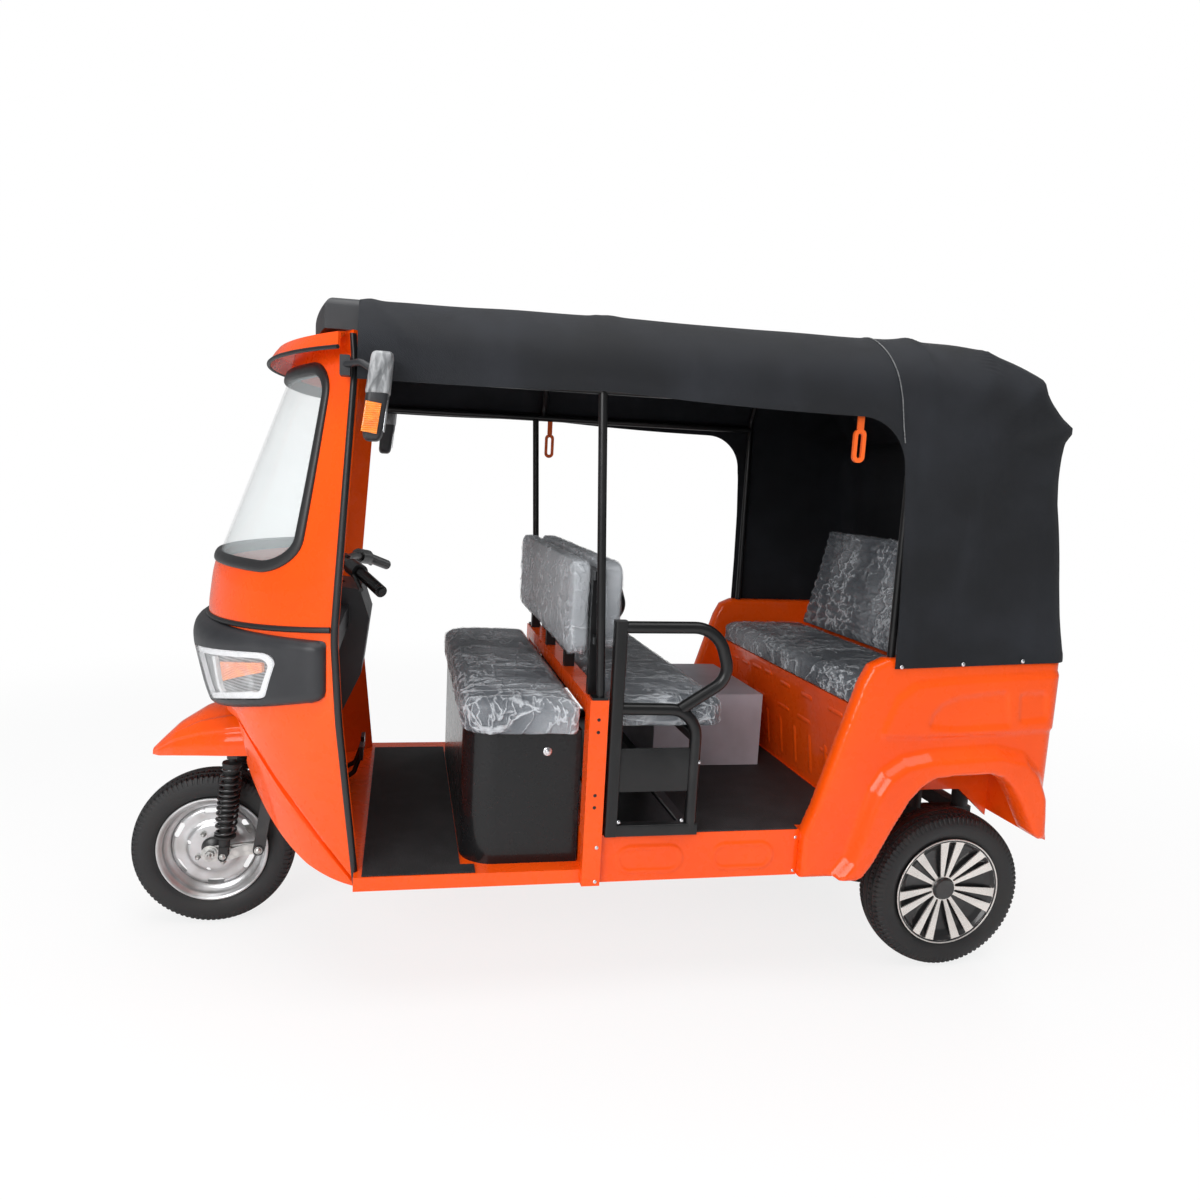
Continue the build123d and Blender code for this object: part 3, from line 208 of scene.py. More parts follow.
def arc(a, b, c, count):
    """Points on the circle through three points of a plane, from the first to the last."""
    a, b, c = (np.array(p, float) for p in (a, b, c))
    d = 2 * (a[0] * (b[1] - c[1]) + b[0] * (c[1] - a[1]) + c[0] * (a[1] - b[1]))
    squares = [p @ p for p in (a, b, c)]
    middle = np.array([
        squares[0] * (b[1] - c[1]) + squares[1] * (c[1] - a[1]) + squares[2] * (a[1] - b[1]),
        squares[0] * (c[0] - b[0]) + squares[1] * (a[0] - c[0]) + squares[2] * (b[0] - a[0]),
    ]) / d
    start, via, end = (math.atan2(*(p - middle)[::-1]) for p in (a, b, c))
    if ((via - start) % (2 * math.pi)) > ((end - start) % (2 * math.pi)):
        sweep = -((start - end) % (2 * math.pi))
    else:
        sweep = (end - start) % (2 * math.pi)
    turn = start + sweep * np.linspace(0, 1, count)
    return middle + np.hypot(*(a - middle)) * np.stack([np.cos(turn), np.sin(turn)], 1)


FRONT_AXLE, REAR_AXLE, AXLE_Z, REAR_WHEEL_Y = -1.110, 1.110, 0.246, 0.470
WHEELS = (
    ("front", (FRONT_AXLE, 0.0, AXLE_Z), "front_wheel"),
    ("rear_left", (REAR_AXLE, -REAR_WHEEL_Y, AXLE_Z), "rear_wheel_left"),
    ("rear_right", (REAR_AXLE, REAR_WHEEL_Y, AXLE_Z), "rear_wheel_right"),
)
BLOCKS, BLOCK_STEPS = 92, 8
GROOVES, GROOVE_HALF, GROOVE_DEPTH = (0.0115, 0.0310), 0.0021, 0.0055
TREAD_EDGE = (0.236, 0.047)

rubber, w = finish("tyre_rubber", (0.012, 0.012, 0.013), 0.62)
grain = w.noise(260, 4)
dust = w.noise(9, 3).part(0.45, 0.8)
feed(
    rubber,
    Base_Color=dust.tint((0.011, 0.011, 0.012), (0.026, 0.025, 0.024)),
    Roughness=0.5 + 0.25 * dust + 0.1 * grain,
    Bump=(grain, 0.0006),
)

tread_y = np.sort(np.concatenate([
    np.linspace(-TREAD_EDGE[1], TREAD_EDGE[1], 23),
    *[side * (at + np.array([-0.0026, -0.0018, 0.0018, 0.0026])) for side in (-1, 1) for at in GROOVES],
]))
crown_radius = arc((-TREAD_EDGE[1], TREAD_EDGE[0]), (0, AXLE_Z), (TREAD_EDGE[1], TREAD_EDGE[0]), 201)
tread = np.stack([np.interp(tread_y, crown_radius[:, 0], crown_radius[:, 1]), tread_y], 1)
wall = arc(TREAD_EDGE, (0.204, 0.056), (0.167, 0.043), 26)[1:]
foot = np.array([[0.160, 0.042], [0.153, 0.041]])
tyre_profile = np.vstack([foot * (1, -1), (wall * (1, -1))[::-1], tread, wall, foot])
row_y = np.abs(tyre_profile[:, 1])
on_tread = tyre_profile[:, 0] > 0.2155


def tread_depth(angle, row):
    """What the mould adds to each radius: grooves round the tyre at two distances each side, slots across the
    shoulders and the ribs between the grooves, and rings on the sidewalls."""
    y, radius = row_y[row], tyre_profile[row, 0]
    step = (angle * BLOCKS / (2 * np.pi)) % 1
    slot = (np.abs(step - 0.5) < 0.14) * 1.0
    groove = (np.abs(y - GROOVES[0]) < GROOVE_HALF) | (np.abs(y - GROOVES[1]) < GROOVE_HALF)
    shoulder = (y > 0.0375) & (radius > 0.219)
    middle = (y > 0.0150) & (y < 0.0275)
    depth = np.where(groove & on_tread[row], GROOVE_DEPTH, 0)
    depth = np.maximum(depth, np.where(shoulder, slot * 0.0038, 0))
    depth = np.maximum(depth, np.where(middle & on_tread[row], slot * 0.0030, 0))
    rings = 0.0007 * ((np.abs(radius - 0.2085) < 0.0012) | (np.abs(radius - 0.176) < 0.0015))
    return rings * (1 - on_tread[row]) - depth


for label, centre, body in WHEELS:
    points, faces = lathe(tyre_profile, centre, BLOCKS * BLOCK_STEPS, shape=tread_depth)
    tyre = piece(f"tyre_{label}", points, [faces], body, rubber, 32)
    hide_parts("front_tyre" if label == "front" else f"rear_tyre_{label[5:]}")

# ------------------------------------------------------------------ front rim
# A pressed steel wheel, silver lacquered: a stepped barrel, a dished disc with six long slots and four
# round holes welded into it, and four wheel bolts round a black hub.


BATCH = 1500  # points measured against all edges at once


def odd_crossings(points, a, b):
    """Which points lie inside closed loops of edges from a to b: a ray along the first axis crosses an odd
    number."""
    inside = []
    for part in np.array_split(points, len(points) // BATCH + 1):
        p, rise = part[:, None, :], b[:, 1] - a[:, 1]
        level = a[:, 0] + (p[..., 1] - a[:, 1]) * (b[:, 0] - a[:, 0]) / np.where(rise == 0, 1e-12, rise)
        cross = ((a[:, 1] > p[..., 1]) != (b[:, 1] > p[..., 1])) & (p[..., 0] < level)
        inside.append(cross.sum(1) % 2 == 1)
    return np.concatenate(inside)


def reach(points, a, b):
    """Distance from each point to the nearest of the edges from a to b."""
    along, gaps = b - a, []
    for part in np.array_split(points, len(points) // BATCH + 1):
        gap = part[:, None, :] - a
        share = np.clip((gap * along).sum(-1) / np.maximum((along**2).sum(-1), 1e-12), 0, 1)
        gaps.append(np.hypot(*np.moveaxis(gap - share[..., None] * along, -1, 0)).min(1))
    return np.concatenate(gaps)


def cut_sheet(loops, step):
    """Triangles that fill the first loop of plane points and leave the other loops open: a square grid of
    points at that step, clear of the edges, joined by a Delaunay triangulation that follows the loops."""
    a = np.vstack(loops)
    b = np.vstack([np.roll(loop, -1, 0) for loop in loops])
    low, high = a.min(0), a.max(0)
    ticks = [np.arange(low[k] + step / 2, high[k], step) for k in (0, 1)]
    grid = np.stack(np.meshgrid(*ticks), -1).reshape(-1, 2)
    grid = grid[odd_crossings(grid, a, b)]
    points = np.vstack([a, grid[reach(grid, a, b) > step * 0.45]])
    first = np.cumsum([0] + [len(loop) for loop in loops])
    edges = [(i, s + (i - s + 1) % (e - s)) for s, e in zip(first[:-1], first[1:]) for i in range(s, e)]
    out, _, faces, *_ = delaunay_2d_cdt([Vector(p) for p in points], edges, [], 1, 1e-7)
    out = np.array([tuple(v) for v in out])
    faces = np.array(faces)
    turn = np.cross(out[faces[:, 1]] - out[faces[:, 0]], out[faces[:, 2]] - out[faces[:, 0]])
    faces[turn < 0] = faces[turn < 0][:, ::-1]
    return out, faces[(np.abs(turn) > 1e-12) & odd_crossings(out[faces].mean(1), a, b)]


def walled(sheet, place, thick, flip=False):
    """A wall from a cut sheet: place(points, depth) gives its outer face at depth 0 and its inner one at the
    wall's thickness, and a strip of faces closes every edge between them."""
    points, faces = sheet
    count = len(points)
    edges = np.vstack([faces[:, [0, 1]], faces[:, [1, 2]], faces[:, [2, 0]]])
    key = np.sort(edges, 1) @ np.array([count, 1])
    _, index, times = np.unique(key, return_index=True, return_counts=True)
    rim = edges[index[times == 1]]
    strip = np.stack([rim[:, 1], rim[:, 0], rim[:, 0] + count, rim[:, 1] + count], 1)
    shell = [faces, faces[:, ::-1] + count, strip]
    if flip:
        shell = [f[:, ::-1] for f in shell]
    return np.vstack([place(points, 0.0), place(points, thick)]), shell


def ring_of(radius, count, centre=(0, 0)):
    """Points round a circle."""
    turn = np.linspace(0, 2 * np.pi, count, endpoint=False)
    return np.array(centre) + radius * np.stack([np.cos(turn), np.sin(turn)], 1)


def long_hole(middle_radius, turn, length, width, count=8):
    """A slot across a radius, its ends round, at an angle in degrees."""
    half = (length - width) / 2
    ends = [
        np.stack([width / 2 * np.cos(t), side * half + width / 2 * np.sin(t)], 1)
        for side, t in ((1, np.linspace(0, np.pi, count)), (-1, np.linspace(np.pi, 2 * np.pi, count)))
    ]
    flat = np.vstack(ends) + (middle_radius, 0)
    c, s = math.cos(math.radians(turn)), math.sin(math.radians(turn))
    return flat @ np.array([[c, s], [-s, c]])


silver, w = finish(
    "silver_lacquer", (0.60, 0.60, 0.61), 0.32, Metallic=0.85, Coat_Weight=0.35, Coat_Roughness=0.2)
fleck = w.noise(90, 4)
feed(
    silver,
    Base_Color=w.noise(14, 3).part(0.35, 0.75).tint((0.62, 0.62, 0.63), (0.47, 0.465, 0.46)),
    Roughness=0.26 + 0.16 * fleck,
    Bump=(fleck, 0.0004),
)

rim_barrel = np.array([
    (0.1520, -0.0430), (0.1620, -0.0432), (0.1655, -0.0450), (0.1672, -0.0480), (0.1660, -0.0515),
    (0.1620, -0.0525), (0.1575, -0.0505), (0.1545, -0.0465), (0.1520, -0.0440), (0.1500, -0.0425),
    (0.1490, -0.0395), (0.1492, -0.0330), (0.1485, -0.0280), (0.1440, -0.0235), (0.1380, -0.0190),
    (0.1320, -0.0165), (0.1300, -0.0130), (0.1298, 0.0000), (0.1300, 0.0130), (0.1320, 0.0165),
    (0.1380, 0.0190), (0.1440, 0.0235), (0.1485, 0.0280), (0.1492, 0.0330), (0.1490, 0.0395),
    (0.1500, 0.0425), (0.1520, 0.0440), (0.1545, 0.0465), (0.1575, 0.0505), (0.1620, 0.0525),
    (0.1660, 0.0515), (0.1672, 0.0480), (0.1655, 0.0450), (0.1620, 0.0432), (0.1520, 0.0430),
    (0.1520, 0.0240), (0.1340, 0.0140), (0.1340, -0.0140), (0.1520, -0.0240),
])
front_centre = (FRONT_AXLE, 0.0, AXLE_Z)
disc_profile = np.array([
    (0.000, -0.034), (0.052, -0.034), (0.068, -0.0335), (0.076, -0.0310), (0.081, -0.0255), (0.087, -0.0225),
    (0.097, -0.0215), (0.108, -0.0230), (0.116, -0.0235), (0.123, -0.0205), (0.128, -0.0150),
    (0.1305, -0.0100),
])


def on_disc(points, depth):
    """A point of the wheel's plane, set back by its radius as the pressed profile says."""
    back = np.interp(np.hypot(*points.T), *disc_profile.T)
    return np.stack([FRONT_AXLE + points[:, 0], back + depth, AXLE_Z + points[:, 1]], 1)


def gathered(name, parts, body, material, sharp=40):
    """One piece from several (points, faces) parts."""
    points, faces, count = [], [], 0
    for p, f in parts:
        f = f if isinstance(f, list) else [f]
        points.append(p)
        faces += [g + count for g in f]
        count += len(p)
    return piece(name, np.vstack(points), faces, body, material, sharp)


RIM_INSIDE, HUB_HOLE, SLOT_RADIUS, VENT_RADIUS = 0.1305, 0.034, 0.116, 0.075
disc = walled(cut_sheet(
    [ring_of(RIM_INSIDE, 160), ring_of(HUB_HOLE, 48)]
    + [long_hole(SLOT_RADIUS, 32 + 60 * k, 0.052, 0.015) for k in range(6)]
    + [
        ring_of(0.007, 16, (VENT_RADIUS * math.cos(a), VENT_RADIUS * math.sin(a)))
        for a in np.radians(77 + 90 * np.arange(4))
    ],
    0.005,
), on_disc, 0.004)
barrel = lathe(rim_barrel, front_centre, 160, closed=True)
rim = gathered("front_rim_steel", [barrel, disc], "front_wheel", silver, 38)
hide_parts("front_rim")


def bolt_head(centre, radius, height, sides=6, toward=(0, -1, 0), dome=0.25):
    """A screw or bolt head: sides round a straight wall, a chamfer and a flat or domed top, standing along an
    axis."""
    toward = Vector(toward).normalized()
    across = toward.orthogonal().normalized()
    up = toward.cross(across)
    turn = np.linspace(0, 2 * np.pi, sides, endpoint=False)
    rows = [
        (1.25, 0.0), (1.25, 0.12), (1.0, 0.14), (1.0, 0.75), (0.85, 1.0), (0.45, 1.0 + dome),
        (0.001, 1.0 + dome)]
    basis = np.array([across, up, toward])
    grid = np.stack([
        np.stack([s * radius * np.cos(turn), s * radius * np.sin(turn), np.full(sides, h * height)], 1)
        for s, h in rows
    ]) @ basis + np.array(centre)
    return grid.reshape(-1, 3), quads(len(rows), sides, wrap_columns=True)


zinc, w = finish("zinc_plate", (0.56, 0.56, 0.55), 0.34, Metallic=0.9)
spangle = w.noise(55, 2, kind="Voronoi", out="Distance")
feed(
    zinc,
    Base_Color=spangle.part(0.2, 0.8).tint((0.62, 0.62, 0.60), (0.44, 0.44, 0.43)),
    Roughness=0.25 + 0.2 * w.noise(30, 4),
    Bump=(w.noise(180, 3), 0.0003),
)
bolts = [
    bolt_head((FRONT_AXLE + 0.054 * math.cos(a), -0.034, AXLE_Z + 0.054 * math.sin(a)), 0.0085, 0.012)
    for a in np.radians(122 + 90 * np.arange(4))
]
gathered("front_wheel_bolts", bolts, "front_wheel", zinc)


def weathered(name, colour, rough, tints, cloud, sheen, grain, pattern="Noise", **constants):
    """A finish whose colour drifts between two tints over a cloud (scale, detail, low, high). Its roughness
    is a least value plus a share of a noise (least, share, scale, detail), and its bump is a pattern
    (scale, detail, depth in metres)."""
    material, w = finish(name, colour, rough, **constants)
    feed(
        material,
        Base_Color=w.noise(*cloud[:2]).part(*cloud[2:]).tint(*tints),
        Roughness=sheen[0] + sheen[1] * w.noise(*sheen[2:]),
        Bump=(w.noise(*grain[:2], kind=pattern), grain[2]),
    )
    return material


black_metal = weathered(
    "black_metal", (0.016, 0.016, 0.017), 0.38, ((0.014, 0.014, 0.015), (0.030, 0.029, 0.028)),
    cloud=(20, 3, 0.4, 0.8), sheen=(0.30, 0.2, 45, 4), grain=(240, 3, 0.0003),
    Coat_Weight=0.25, Coat_Roughness=0.3)
hub_profile = np.array([
    (0.001, -0.052), (0.014, -0.0515), (0.018, -0.049), (0.020, -0.047), (0.031, -0.045), (0.0345, -0.041),
    (0.036, -0.036), (0.036, -0.026), (0.040, -0.022), (0.040, 0.030), (0.052, 0.032), (0.054, 0.036),
    (0.054, 0.050), (0.001, 0.051),
])
hub = gathered("front_hub", [lathe(hub_profile, front_centre, 56)], "front_wheel", black_metal)

# ------------------------------------------------------------------ front suspension
# Leading links of zinc-plated plate carry the axle; each side has a coil-over damper with a black spring,
# a ribbed rubber bellows and a forked foot, and the black fork behind it holds the link's pivot bolt.


def along_path(path, profile, up=(0, 0, 1)):
    """A profile of (across, up) points carried along a path of points, square to it, as a grid."""
    tangent = np.gradient(path, axis=0)
    tangent /= np.linalg.norm(tangent, axis=1)[:, None]
    across = np.cross(tangent, np.broadcast_to(np.array(up, float), tangent.shape))
    across /= np.linalg.norm(across, axis=1)[:, None]
    rise = np.cross(across, tangent)
    return path[:, None] + profile[None, :, :1] * across[:, None] + profile[None, :, 1:] * rise[:, None]


def capped(grid):
    """A closed tube's points and faces: its grid, wrapped across, with a face over each end."""
    rows, columns = grid.shape[:2]
    middle = np.stack([grid[0].mean(0), grid[-1].mean(0)])
    ring = np.arange(columns)
    after = np.roll(ring, -1)
    last = (rows - 1) * columns
    return np.vstack([grid.reshape(-1, 3), middle]), [
        quads(rows, columns, wrap_columns=True),
        np.stack([after, ring, np.full(columns, rows * columns)], 1),
        np.stack([last + ring, last + after, np.full(columns, rows * columns + 1)], 1),
    ]


def turned(profile, foot, head, count):
    """A profile of (radius, distance) points turned about the line from foot towards head."""
    axis = np.subtract(head, foot)
    axis = axis / np.linalg.norm(axis)
    across = np.cross(axis, (0.31, 0.95, 0.05))
    across /= np.linalg.norm(across)
    third = np.cross(axis, across)
    turn = np.linspace(0, 2 * np.pi, count, endpoint=False)
    circle = np.cos(turn)[:, None] * across + np.sin(turn)[:, None] * third
    grid = np.array(foot) + profile[:, None, 1:] * axis + profile[:, None, :1] * circle[None]
    return grid.reshape(-1, 3), quads(len(profile), count, wrap_columns=True)[:, ::-1]


dress(black_metal, "fork")
spring_black, w = finish("spring_black", (0.012, 0.012, 0.013), 0.3, Coat_Weight=0.6, Coat_Roughness=0.15)
feed(spring_black, Roughness=0.24 + 0.22 * w.noise(60, 4), Bump=(w.noise(300, 2), 0.0003))
bellows_black, w = finish("bellows_rubber", (0.014, 0.014, 0.014), 0.6)
feed(bellows_black, Roughness=0.5 + 0.25 * w.noise(80, 4), Bump=(w.noise(400, 2), 0.0004))


def upright(y, way=1):
    """Places plane points as (x, z) in an upright plane at y, and their depth along Y in its way."""
    return lambda points, depth: np.stack(
        [points[:, 0], np.full(len(points), y + way * depth), points[:, 1]], 1)


SIDES = (("left", -1), ("right", 1))
DAMPER_Y, FOOT_XZ, HEAD_XZ = 0.100, (-1.068, 0.250), (-1.038, 0.572)
COILS, COIL_STEPS, SPRING_WIRE = 12, 26, 0.0046
damper_base = np.array([
    (0.001, 0.020), (0.015, 0.021), (0.0165, 0.024), (0.0165, 0.052), (0.022, 0.055), (0.0235, 0.058),
    (0.0315, 0.0605), (0.0325, 0.0625), (0.0315, 0.0660), (0.024, 0.067), (0.018, 0.070), (0.018, 0.092),
])
damper_top = np.array([
    (0.018, 0.258), (0.021, 0.262), (0.0275, 0.288), (0.0285, 0.292), (0.027, 0.296), (0.016, 0.298),
    (0.012, 0.302), (0.012, 0.314), (0.001, 0.315),
])
for label, side in SIDES:
    foot, head = (np.array([x, side * DAMPER_Y, z]) for x, z in (FOOT_XZ, HEAD_XZ))
    length = np.linalg.norm(head - foot)
    axis = (head - foot) / length
    third = np.cross(axis, (0, 1, 0))
    # the coil: twelve turns, a little closer in the middle and drawn in at the top
    turn = np.linspace(0, 1, COILS * COIL_STEPS)
    climb = 0.066 + 0.222 * (turn + 0.035 * np.sin(2 * np.pi * turn))
    radius = 0.0285 - 0.006 * np.clip((turn - 0.82) / 0.12, 0, 1)
    circle = np.stack([np.cos(2 * np.pi * COILS * turn), np.sin(2 * np.pi * COILS * turn)], 1)
    centre_line = foot + climb[:, None] * axis + radius[:, None] * (
        circle[:, :1] * np.array([0, 1.0, 0]) + circle[:, 1:] * third)
    wire = capped(along_path(centre_line, ring_of(SPRING_WIRE, 10), axis))
    gathered(f"damper_spring_{label}", [wire], "steering", spring_black, 60)
    ribs = np.linspace(0, 1, 85)
    rib_profile = np.stack([0.0175 + 0.0022 * np.abs(np.sin(ribs * 14 * np.pi)), 0.09 + 0.17 * ribs], 1)
    bellows = turned(rib_profile, foot, head, 28)
    x, z = FOOT_XZ
    eye = arc((x - 0.013, z - 0.001), (x + 0.001, z - 0.015), (x + 0.014, z + 0.001), 14)
    cheek = cut_sheet([np.vstack([eye, [(x + 0.016, z + 0.030), (x - 0.010, z + 0.031)]])], 0.02)
    cheeks = [walled(cheek, upright(side * DAMPER_Y + gap * 0.0145 - 0.0025), 0.005) for gap in (-1, 1)]
    eye_top = walled(cut_sheet([ring_of(0.013, 24, HEAD_XZ)], 0.02), upright(side * DAMPER_Y - 0.011), 0.022)
    damper = gathered(
        f"damper_body_{label}",
        [bellows, turned(damper_base, foot, head, 32), turned(damper_top, foot, head, 32), *cheeks, eye_top],
        "steering", bellows_black, 40)
    if side < 0:
        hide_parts("front_dampers")

# links: a flat pressed plate from the pivot to the axle
PIVOT = (-0.965, 0.262)
dress(zinc, "front_links")
link_outline = np.array([
    (FRONT_AXLE - 0.020, AXLE_Z - 0.012), (FRONT_AXLE - 0.012, AXLE_Z - 0.024),
    (FRONT_AXLE + 0.012, AXLE_Z - 0.025), (-1.050, AXLE_Z - 0.020), (-1.010, AXLE_Z - 0.008),
    (PIVOT[0] + 0.004, PIVOT[1] - 0.018), (PIVOT[0] + 0.017, PIVOT[1]), (PIVOT[0] + 0.004, PIVOT[1] + 0.018),
    (-1.010, AXLE_Z + 0.026), (-1.045, AXLE_Z + 0.016), (-1.060, AXLE_Z + 0.022), (-1.078, AXLE_Z + 0.020),
    (-1.086, AXLE_Z + 0.010), (FRONT_AXLE - 0.006, AXLE_Z + 0.020), (FRONT_AXLE - 0.020, AXLE_Z + 0.010),
])
PLATE_Y, PLATE_THICK = 0.0775, 0.005
for label, side in SIDES:
    face_y = side * PLATE_Y
    plate = walled(cut_sheet([link_outline], 0.05), upright(face_y, side), PLATE_THICK, flip=side < 0)
    out = (0, side, 0)
    heads = [
        bolt_head((FRONT_AXLE, face_y + side * PLATE_THICK, AXLE_Z), 0.0145, 0.011, 6, out, 0.1),
        bolt_head((FRONT_AXLE, face_y + side * 0.016, AXLE_Z), 0.0065, 0.008, 16, out),
        bolt_head((PIVOT[0], side * 0.106, PIVOT[1]), 0.0095, 0.007, 20, out),
        bolt_head((FOOT_XZ[0], side * 0.1165, FOOT_XZ[1]), 0.0085, 0.006, 6, out),
        bolt_head((FRONT_AXLE - 0.001, face_y + side * 0.004, AXLE_Z), 0.021, 0.004, 28, out, 0.05),
    ]
    link = gathered(f"front_link_plate_{label}", [plate, *heads], "steering", zinc, 32)

# ------------------------------------------------------------------ rear wheels
# Black steel rims behind a clipped-on cover: a thin bright ring, seven pairs of machined silver spokes that
# dish in to the hub, black pockets between them and a black cap.
pocket_black, w = finish("pocket_black", (0.006, 0.006, 0.007), 0.35, Coat_Weight=0.4)
feed(pocket_black, Roughness=0.3 + 0.2 * w.noise(30, 3))
machined, w = finish(
    "machined_silver", (0.75, 0.72, 0.68), 0.27, Metallic=0.75, Coat_Weight=0.5, Coat_Roughness=0.08)
brush = w.noise(30, 4, stretch=(12, 1, 12))
feed(
    machined,
    Base_Color=w.noise(7, 2).part(0.3, 0.8).tint((0.80, 0.77, 0.73), (0.66, 0.63, 0.60)),
    Roughness=0.2 + 0.18 * brush,
)

cover_dish = np.array([
    (0, 0.030), (0.036, 0.0305), (0.060, 0.034), (0.100, 0.042), (0.140, 0.0490), (0.160, 0.0515),
    (0.166, 0.0505),
])
pocket_dish = np.array([
    (0, 0.020), (0.036, 0.021), (0.060, 0.022), (0.100, 0.026), (0.135, 0.034), (0.155, 0.045),
    (0.160, 0.047),
])
SPOKE_PAIRS = 7
COVER_WINDOWS = ((0.0035, 0.0120, 0.0), (0.0045, 0.0310, 0.5))  # half width at the hub and the ring, turn
pocket_radii = np.linspace(0.001, 0.160, 40)
pocket_profile = np.stack([pocket_radii, np.interp(pocket_radii, *pocket_dish.T)], 1)
cap_profile = np.array([
    (0.0352, 0.024), (0.0352, 0.0325), (0.0335, 0.0345), (0.030, 0.0352), (0.012, 0.0362), (0.001, 0.0365),
])
ring_profile = np.array([
    (0.1650, 0.049), (0.1672, 0.0495), (0.1684, 0.0515), (0.1676, 0.0535), (0.1655, 0.0540), (0.1640, 0.0525),
])
drum_profile = np.array([
    (0.001, 0.040), (0.030, 0.040), (0.036, 0.030), (0.040, 0.010), (0.128, 0.008), (0.130, 0.004),
    (0.090, 0.000), (0.0865, -0.004), (0.0865, -0.062), (0.084, -0.067), (0.001, -0.068),
])


def spoke_gap(half_in, half_out, turn):
    """A window between spokes: a wedge from the hub to the ring, its corners eased."""
    rows = [
        (0.0385, half_in * 0.6), (0.041, half_in), (0.156 - half_out * 0.06, half_out),
        (0.158, half_out * 0.86)]
    flat = np.array([(r, -h) for r, h in rows] + [(0.1592, 0)] + [(r, h) for r, h in rows[::-1]])
    angle = math.radians(90 + turn * 360 / SPOKE_PAIRS)
    c, s = math.cos(angle), math.sin(angle)
    return flat @ np.array([[c, s], [-s, c]])


windows = [spoke_gap(a, b, k + turn) for a, b, turn in COVER_WINDOWS for k in range(SPOKE_PAIRS)]
cover_sheet = cut_sheet([ring_of(0.1655, 168)] + windows + [ring_of(0.0345, 40)], 0.006)
for label, centre, body in WHEELS[1:]:
    side = -1 if "left" in label else 1
    left = side < 0

    def on_cover(points, depth):
        """The dished cover: its height over the wheel's middle follows the radius."""
        out = np.interp(np.hypot(*points.T), *cover_dish.T)
        return np.stack(
            [centre[0] + points[:, 0], centre[1] + side * (out - depth), centre[2] + points[:, 1]], 1)

    cover = gathered(
        f"wheel_cover_{label}", [walled(cover_sheet, on_cover, 0.004, flip=not left)], body, machined, 35)
    pockets = gathered(f"wheel_pockets_{label}", [
        lathe(rim_barrel, centre, 128, closed=True),
        lathe(pocket_profile * (1, side), centre, 98, back=left),
        lathe(cap_profile * (1, side), centre, 48, back=left),
    ], body, pocket_black, 38)
    ring = lathe(ring_profile * (1, side), centre, 168, closed=True, back=not left)
    bright = gathered(f"wheel_ring_{label}", [ring], body, machined, 60)
    drum = gathered(
        f"brake_drum_{label}", [lathe(drum_profile * (1, side), centre, 64, back=left)], body, black_metal)
    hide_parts("rear_wheel_" + label[5:])

# ------------------------------------------------------------------ chassis, axle and driving unit
# Welded box rails, leaf springs and the rear axle in black chassis paint, and a closed motor block of bare
# cast metal bolted to the axle's front.
chassis_black = weathered(
    "chassis_black", (0.014, 0.014, 0.015), 0.5, ((0.013, 0.013, 0.014), (0.040, 0.036, 0.032)),
    cloud=(6, 4, 0.45, 0.85), sheen=(0.40, 0.3, 35, 4), grain=(150, 4, 0.0006))
cast_grey = weathered(
    "cast_grey", (0.10, 0.10, 0.105), 0.55, ((0.12, 0.12, 0.125), (0.055, 0.05, 0.047)),
    cloud=(9, 4, 0.4, 0.8), sheen=(0.45, 0.25, 70, 4), grain=(120, 4, 0.001), Metallic=0.5)
dress(chassis_black, "chassis_frame", "rear_axle", "leaf_springs")
dress(cast_grey, "drive_motor")

# ------------------------------------------------------------------ floor, sills and mats
# Pressed steel floor in gloss orange over primer, its sills embossed with two long ovals; black ribbed rubber
# mats lie on both floors and the rear one hangs a little over the sill.


def paint(name, colour, deep, rough=0.22, clear=0.4):
    """Sprayed gloss paint: a colour that varies a little by panel, faint waviness, and a clear coat."""
    material, w = finish(name, colour, rough, Specular_IOR_Level=0.16, Coat_Weight=clear, Coat_Roughness=0.05)
    cloud = w.noise(2.2, 3)
    feed(
        material,
        Base_Color=cloud.part(0.3, 0.75).tint(colour, deep),
        Roughness=rough + 0.12 * w.noise(25, 4),
        Bump=(w.noise(55, 2) + 0.6 * w.noise(700, 1), 0.00022),
    )
    return material


orange = paint("orange_gloss", (0.98, 0.098, 0.004), (0.90, 0.078, 0.003))
dress(orange, "floor_pan", "rear_panel", "rear_tub", "seat_beam", "cab_apron")

mat_rubber, w = finish("ribbed_rubber", (0.014, 0.014, 0.015), 0.7)
x, y, _ = w.axes()
fine = w.noise(330, 3)
weave = w.math("SINE", x * 900.0) * w.math("SINE", y * 900.0)
feed(
    mat_rubber,
    Base_Color=(fine.part(0.4, 0.75) * 0.7 + 0.3 * w.noise(12, 4).part(0.4, 0.7)).tint(
        (0.010, 0.010, 0.011), (0.036, 0.036, 0.038)),
    Roughness=0.55 + 0.3 * fine, Bump=(weave * 0.5 + fine, 0.0016),
)
dress(mat_rubber, "floor_mats")

SILL_Y, SILL_LOW, SILL_HIGH, SILL_FRONT, SILL_REAR = 0.575, 0.350, 0.4846, -0.0015, 0.5765


def oval_gap(points, x0, x1, z0, z1):
    """Signed distance to a long oval, negative inside it."""
    r = (z1 - z0) / 2
    along = points[:, 0] - np.clip(points[:, 0], x0 + r, x1 - r)
    return np.hypot(along, points[:, 1] - (z0 + z1) / 2) - r


def ease(value, low, high):
    """A smooth step from 0 at low to 1 at high."""
    t = np.clip((value - low) / (high - low), 0, 1)
    return t * t * (3 - 2 * t)


